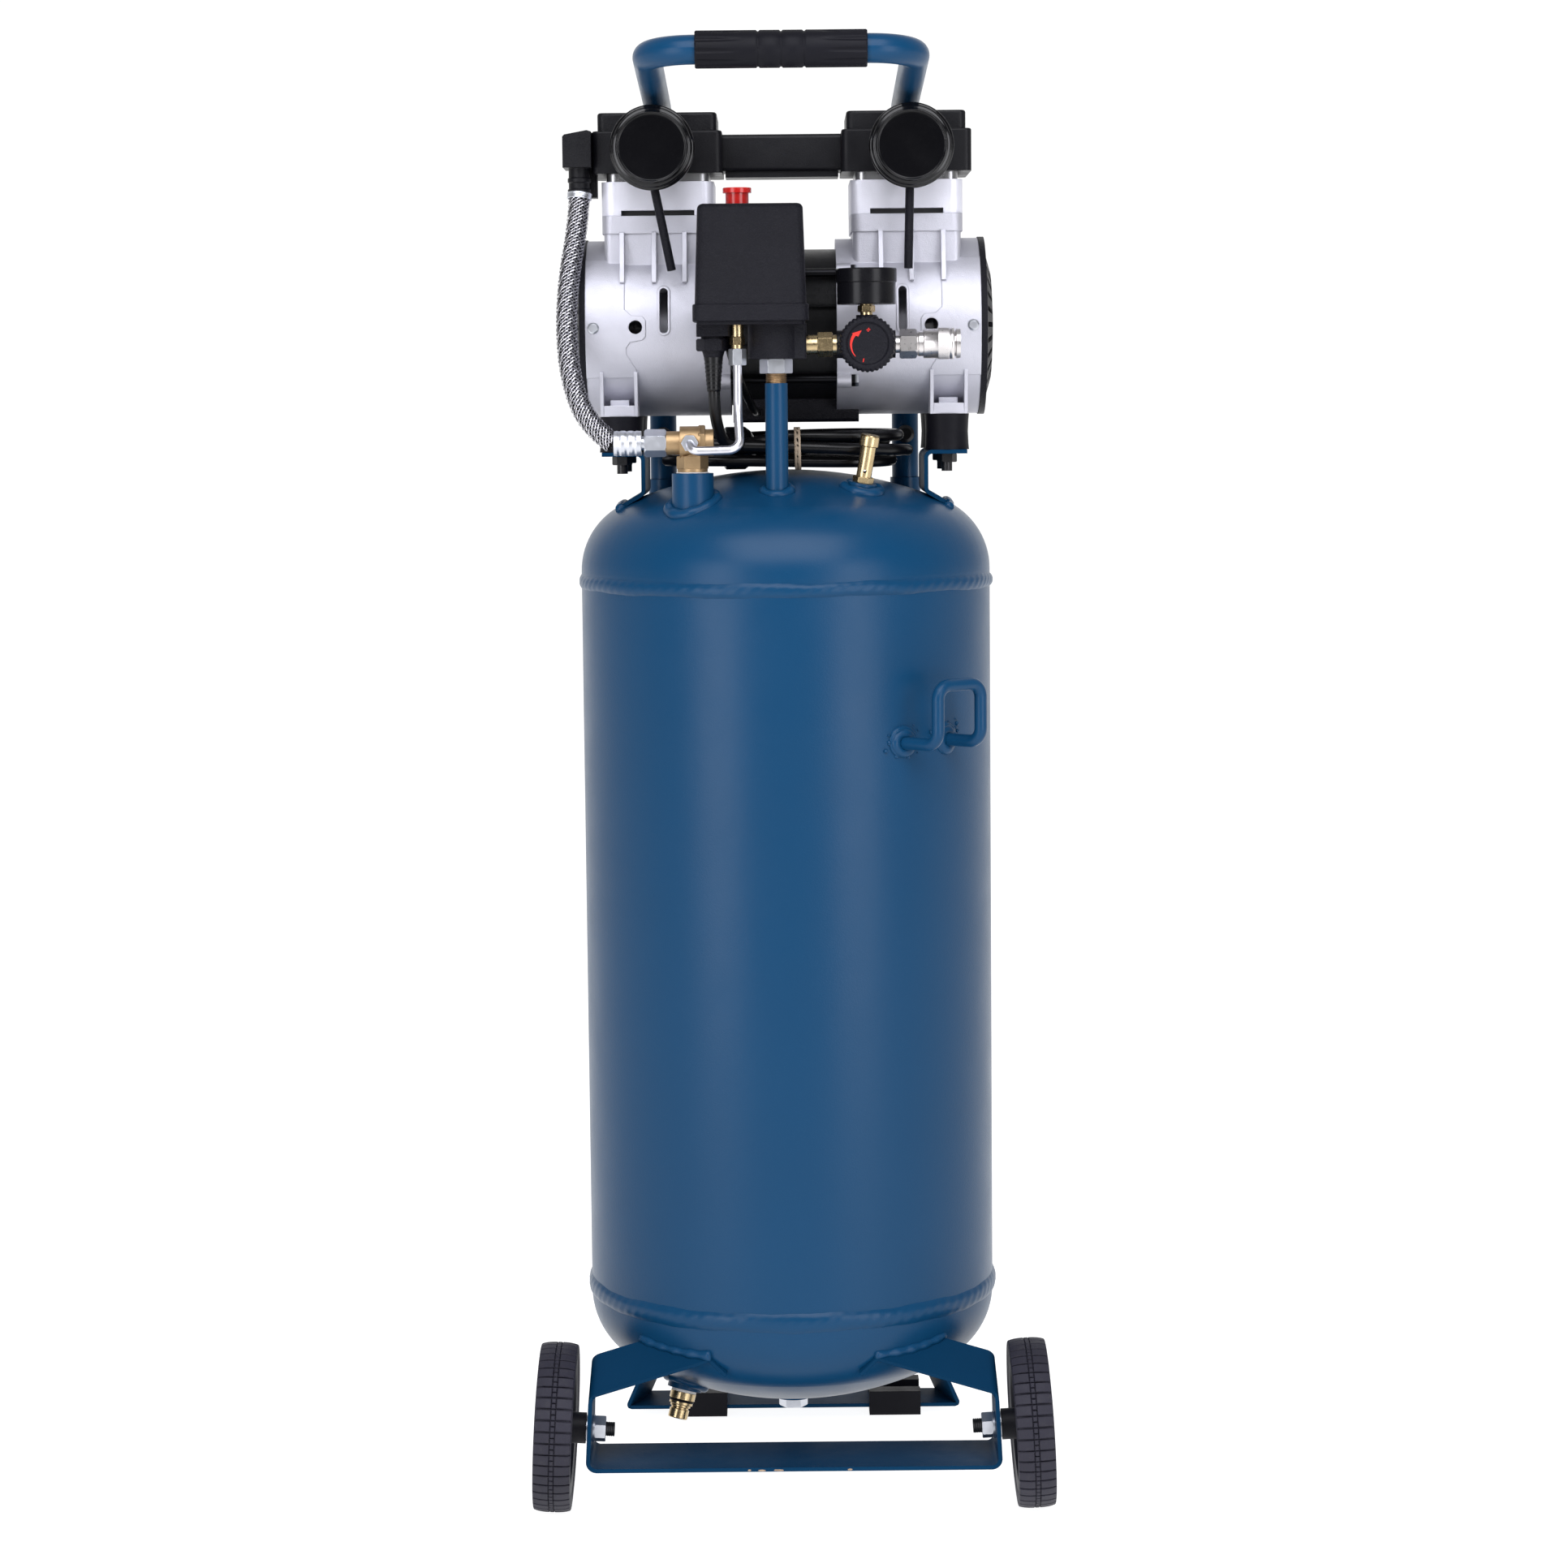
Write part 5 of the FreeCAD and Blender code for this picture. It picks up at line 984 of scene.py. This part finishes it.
DIAL_RADIUS, SCALE_RADIUS, SCALE_START, SCALE_SWEEP, SCALE_MARKS = 18.2, 17.2, 225, 270, 50


def add_gauge_dial():
    """The gauge's white dial with its scale, every fifth mark long."""
    low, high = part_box("gauge_case")
    centre = Vector(((low.x + high.x) / 2, (low.y + high.y) / 2, low.z + 19.25 * MM))
    disc = [(DIAL_RADIUS * MM * math.cos(a), DIAL_RADIUS * MM * math.sin(a))
            for a in (2 * math.pi * i / 72 for i in range(72))]
    flat_shape("gauge_dial", disc, 0.1 * MM, centre, RIGHT, AHEAD, "dial_white", "frame")
    parts = []
    for i in range(SCALE_MARKS + 1):
        a = math.radians(SCALE_START - SCALE_SWEEP * i / SCALE_MARKS)
        long = 3.2 if i % 5 == 0 else 1.8
        half = (0.28 if i % 5 == 0 else 0.14) * MM
        along, across = Vector((math.cos(a), math.sin(a), 0)), Vector((-math.sin(a), math.cos(a), 0))
        ends = [centre + along * r * MM + across * s * half + Vector((0, 0, 0.16 * MM))
                for r, s in ((SCALE_RADIUS - long, -1), (SCALE_RADIUS, -1), (SCALE_RADIUS, 1),
                             (SCALE_RADIUS - long, 1))]
        parts.append((ends, [(0, 1, 2, 3)]))
    piece("gauge_scale", joined(parts), "dial_black", "frame", smooth=False)


BOLT_FROM, BOLT_LENGTH = 0.0366, 0.0068  # the bare thread of an axle bolt, from the wheel's centre outwards


def add_threads():
    """Threads on the riser's nipple and on both axle bolts' ends."""
    thread("thread_riser", at(*RISER, 831.0), UP, 7.7 * MM, 9.6 * MM, 1.4 * MM, 0.6 * MM, "old_brass")
    for side_name in ("left", "right"):
        centre, turn = wheel_frame(side_name)
        axis = turn @ -UP
        thread("thread_axle_" + side_name, centre + axis * BOLT_FROM, axis, 5.45 * MM, BOLT_LENGTH, 1.5 * MM,
               0.42 * MM, "bolt_black")


def add_port_seals():
    """White tape under the drain's fitting, its rubber ring, and the fibre ring under the check valve."""
    axis = Vector((-0.24, -0.20, -0.95)).normalized()
    start = at(-81, -60, 84.8) + axis * 5.5 * MM
    tape = [(7.2, -1.6), (9.1, -1.5), (9.6, -0.6), (9.3, 0.4), (9.6, 1.3), (9.2, 2.15), (7.2, 2.15)]
    piece("drain_tape", lathe_points(eased(tape, 0.2, 2), start, axis, 40), "tape", "frame")
    ring = circle_path(start + axis * 8.8 * MM, 8.1 * MM, 48, axis)
    piece("drain_seal", tube_points(ring, 1.15 * MM, 10, closed=True), "rubber", "frame")
    fibre = [(8.6, 0.0), (11.7, 0.0), (11.9, 0.4), (11.7, 0.8), (8.6, 0.8)]
    piece("outlet_ring", lathe_points(fibre, at(*OUTLET, 768.5), UP, 60), "tape", "frame")


add_camera()
add_power_cord()
add_cord_tie()
add_welds()
tyre("left")
tyre("right")
add_filter_covers()
add_grip()
add_knob()
add_coupler_sleeve()
add_strain_relief()
add_painted_shade_gaps()
add_chips()
add_braided_hose()
add_knob_marks()
add_gauge_dial()
add_threads()
add_port_seals()


# ---------------------------------------------------------------- floor and light


LAMP_COLOUR = (0.95, 0.955, 1.0)
FLOOR_GREY, GLOW_FAR, GLOW_NEAR, GLOW_FROM, GLOW_TO = 0.42, 0.5, 0.93, -2.2, -0.35
WORLD_STOPS = ((0.0, 0.03), (0.35, 0.09), (0.6, 0.38), (0.88, 0.6), (0.93, 1.06))  # share front to back, grey


def add_floor():
    """A plain pale floor whose glow falls mildly far in front of the object."""
    bpy.ops.mesh.primitive_plane_add(size=30, location=(0, 0, 0))
    floor = bpy.context.object
    floor.name = "floor"
    material = bpy.data.materials.new("floor")
    material.use_nodes = True
    tree = material.node_tree
    shader = tree.nodes["Principled BSDF"]
    shader.inputs["Roughness"].default_value = 0.9
    parts = node_of(tree, "ShaderNodeSeparateXYZ")
    tree.links.new(node_of(tree, "ShaderNodeTexCoord").outputs["Object"], parts.inputs["Vector"])
    glow = ranged(tree, parts.outputs["Y"], GLOW_FAR, GLOW_NEAR, GLOW_FROM, GLOW_TO)
    shader.inputs["Base Color"].default_value = (FLOOR_GREY, FLOOR_GREY, FLOOR_GREY, 1)
    shader.inputs["Emission Color"].default_value = (1, 1, 1, 1)
    tree.links.new(glow, shader.inputs["Emission Strength"])
    floor.data.materials.append(material)


def add_light(name, place, aim, width, height, power):
    """A soft rectangular lamp."""
    data = bpy.data.lights.new(name, "AREA")
    data.shape = "RECTANGLE"
    data.size, data.size_y, data.energy = width, height, power
    data.color = LAMP_COLOUR
    lamp = bpy.data.objects.new(name, data)
    SCENE.objects.link(lamp)
    lamp.location = place
    lamp.rotation_euler = (Vector(aim) - Vector(place)).to_track_quat("-Z", "Y").to_euler()


def add_world():
    """A studio that is dark where the front faces, grey at the sides and white behind the object."""
    world = bpy.data.worlds.new("studio")
    bpy.context.scene.world = world
    world.use_nodes = True
    tree = world.node_tree
    background = tree.nodes["Background"]
    place = node_of(tree, "ShaderNodeTexCoord").outputs["Generated"]
    parts = node_of(tree, "ShaderNodeSeparateXYZ")
    tree.links.new(place, parts.inputs["Vector"])
    ramp = node_of(tree, "ShaderNodeValToRGB")
    for i, (share, grey) in enumerate(WORLD_STOPS):
        stop = ramp.color_ramp.elements[i] if i < 2 else ramp.color_ramp.elements.new(share)
        stop.position = share
        stop.color = (grey, grey, grey, 1)
    tree.links.new(ranged(tree, parts.outputs["Y"], 0.0, 1.0, -1.0, 1.0), ramp.inputs["Fac"])
    tree.links.new(ramp.outputs["Color"], background.inputs["Color"])
    background.inputs["Strength"].default_value = 1.0


bpy.context.scene.view_settings.view_transform = "Standard"
add_world()
add_floor()
add_light("left", (-1.45, -1.9, 0.76), (0, 0, 0.66), 1.0, 1.5, 19)
add_light("right", (1.45, -1.9, 0.76), (0, 0, 0.66), 1.0, 1.5, 19)
add_light("above", (0.0, -1.75, 2.45), (0, 0, 0.85), 2.6, 1.9, 70)
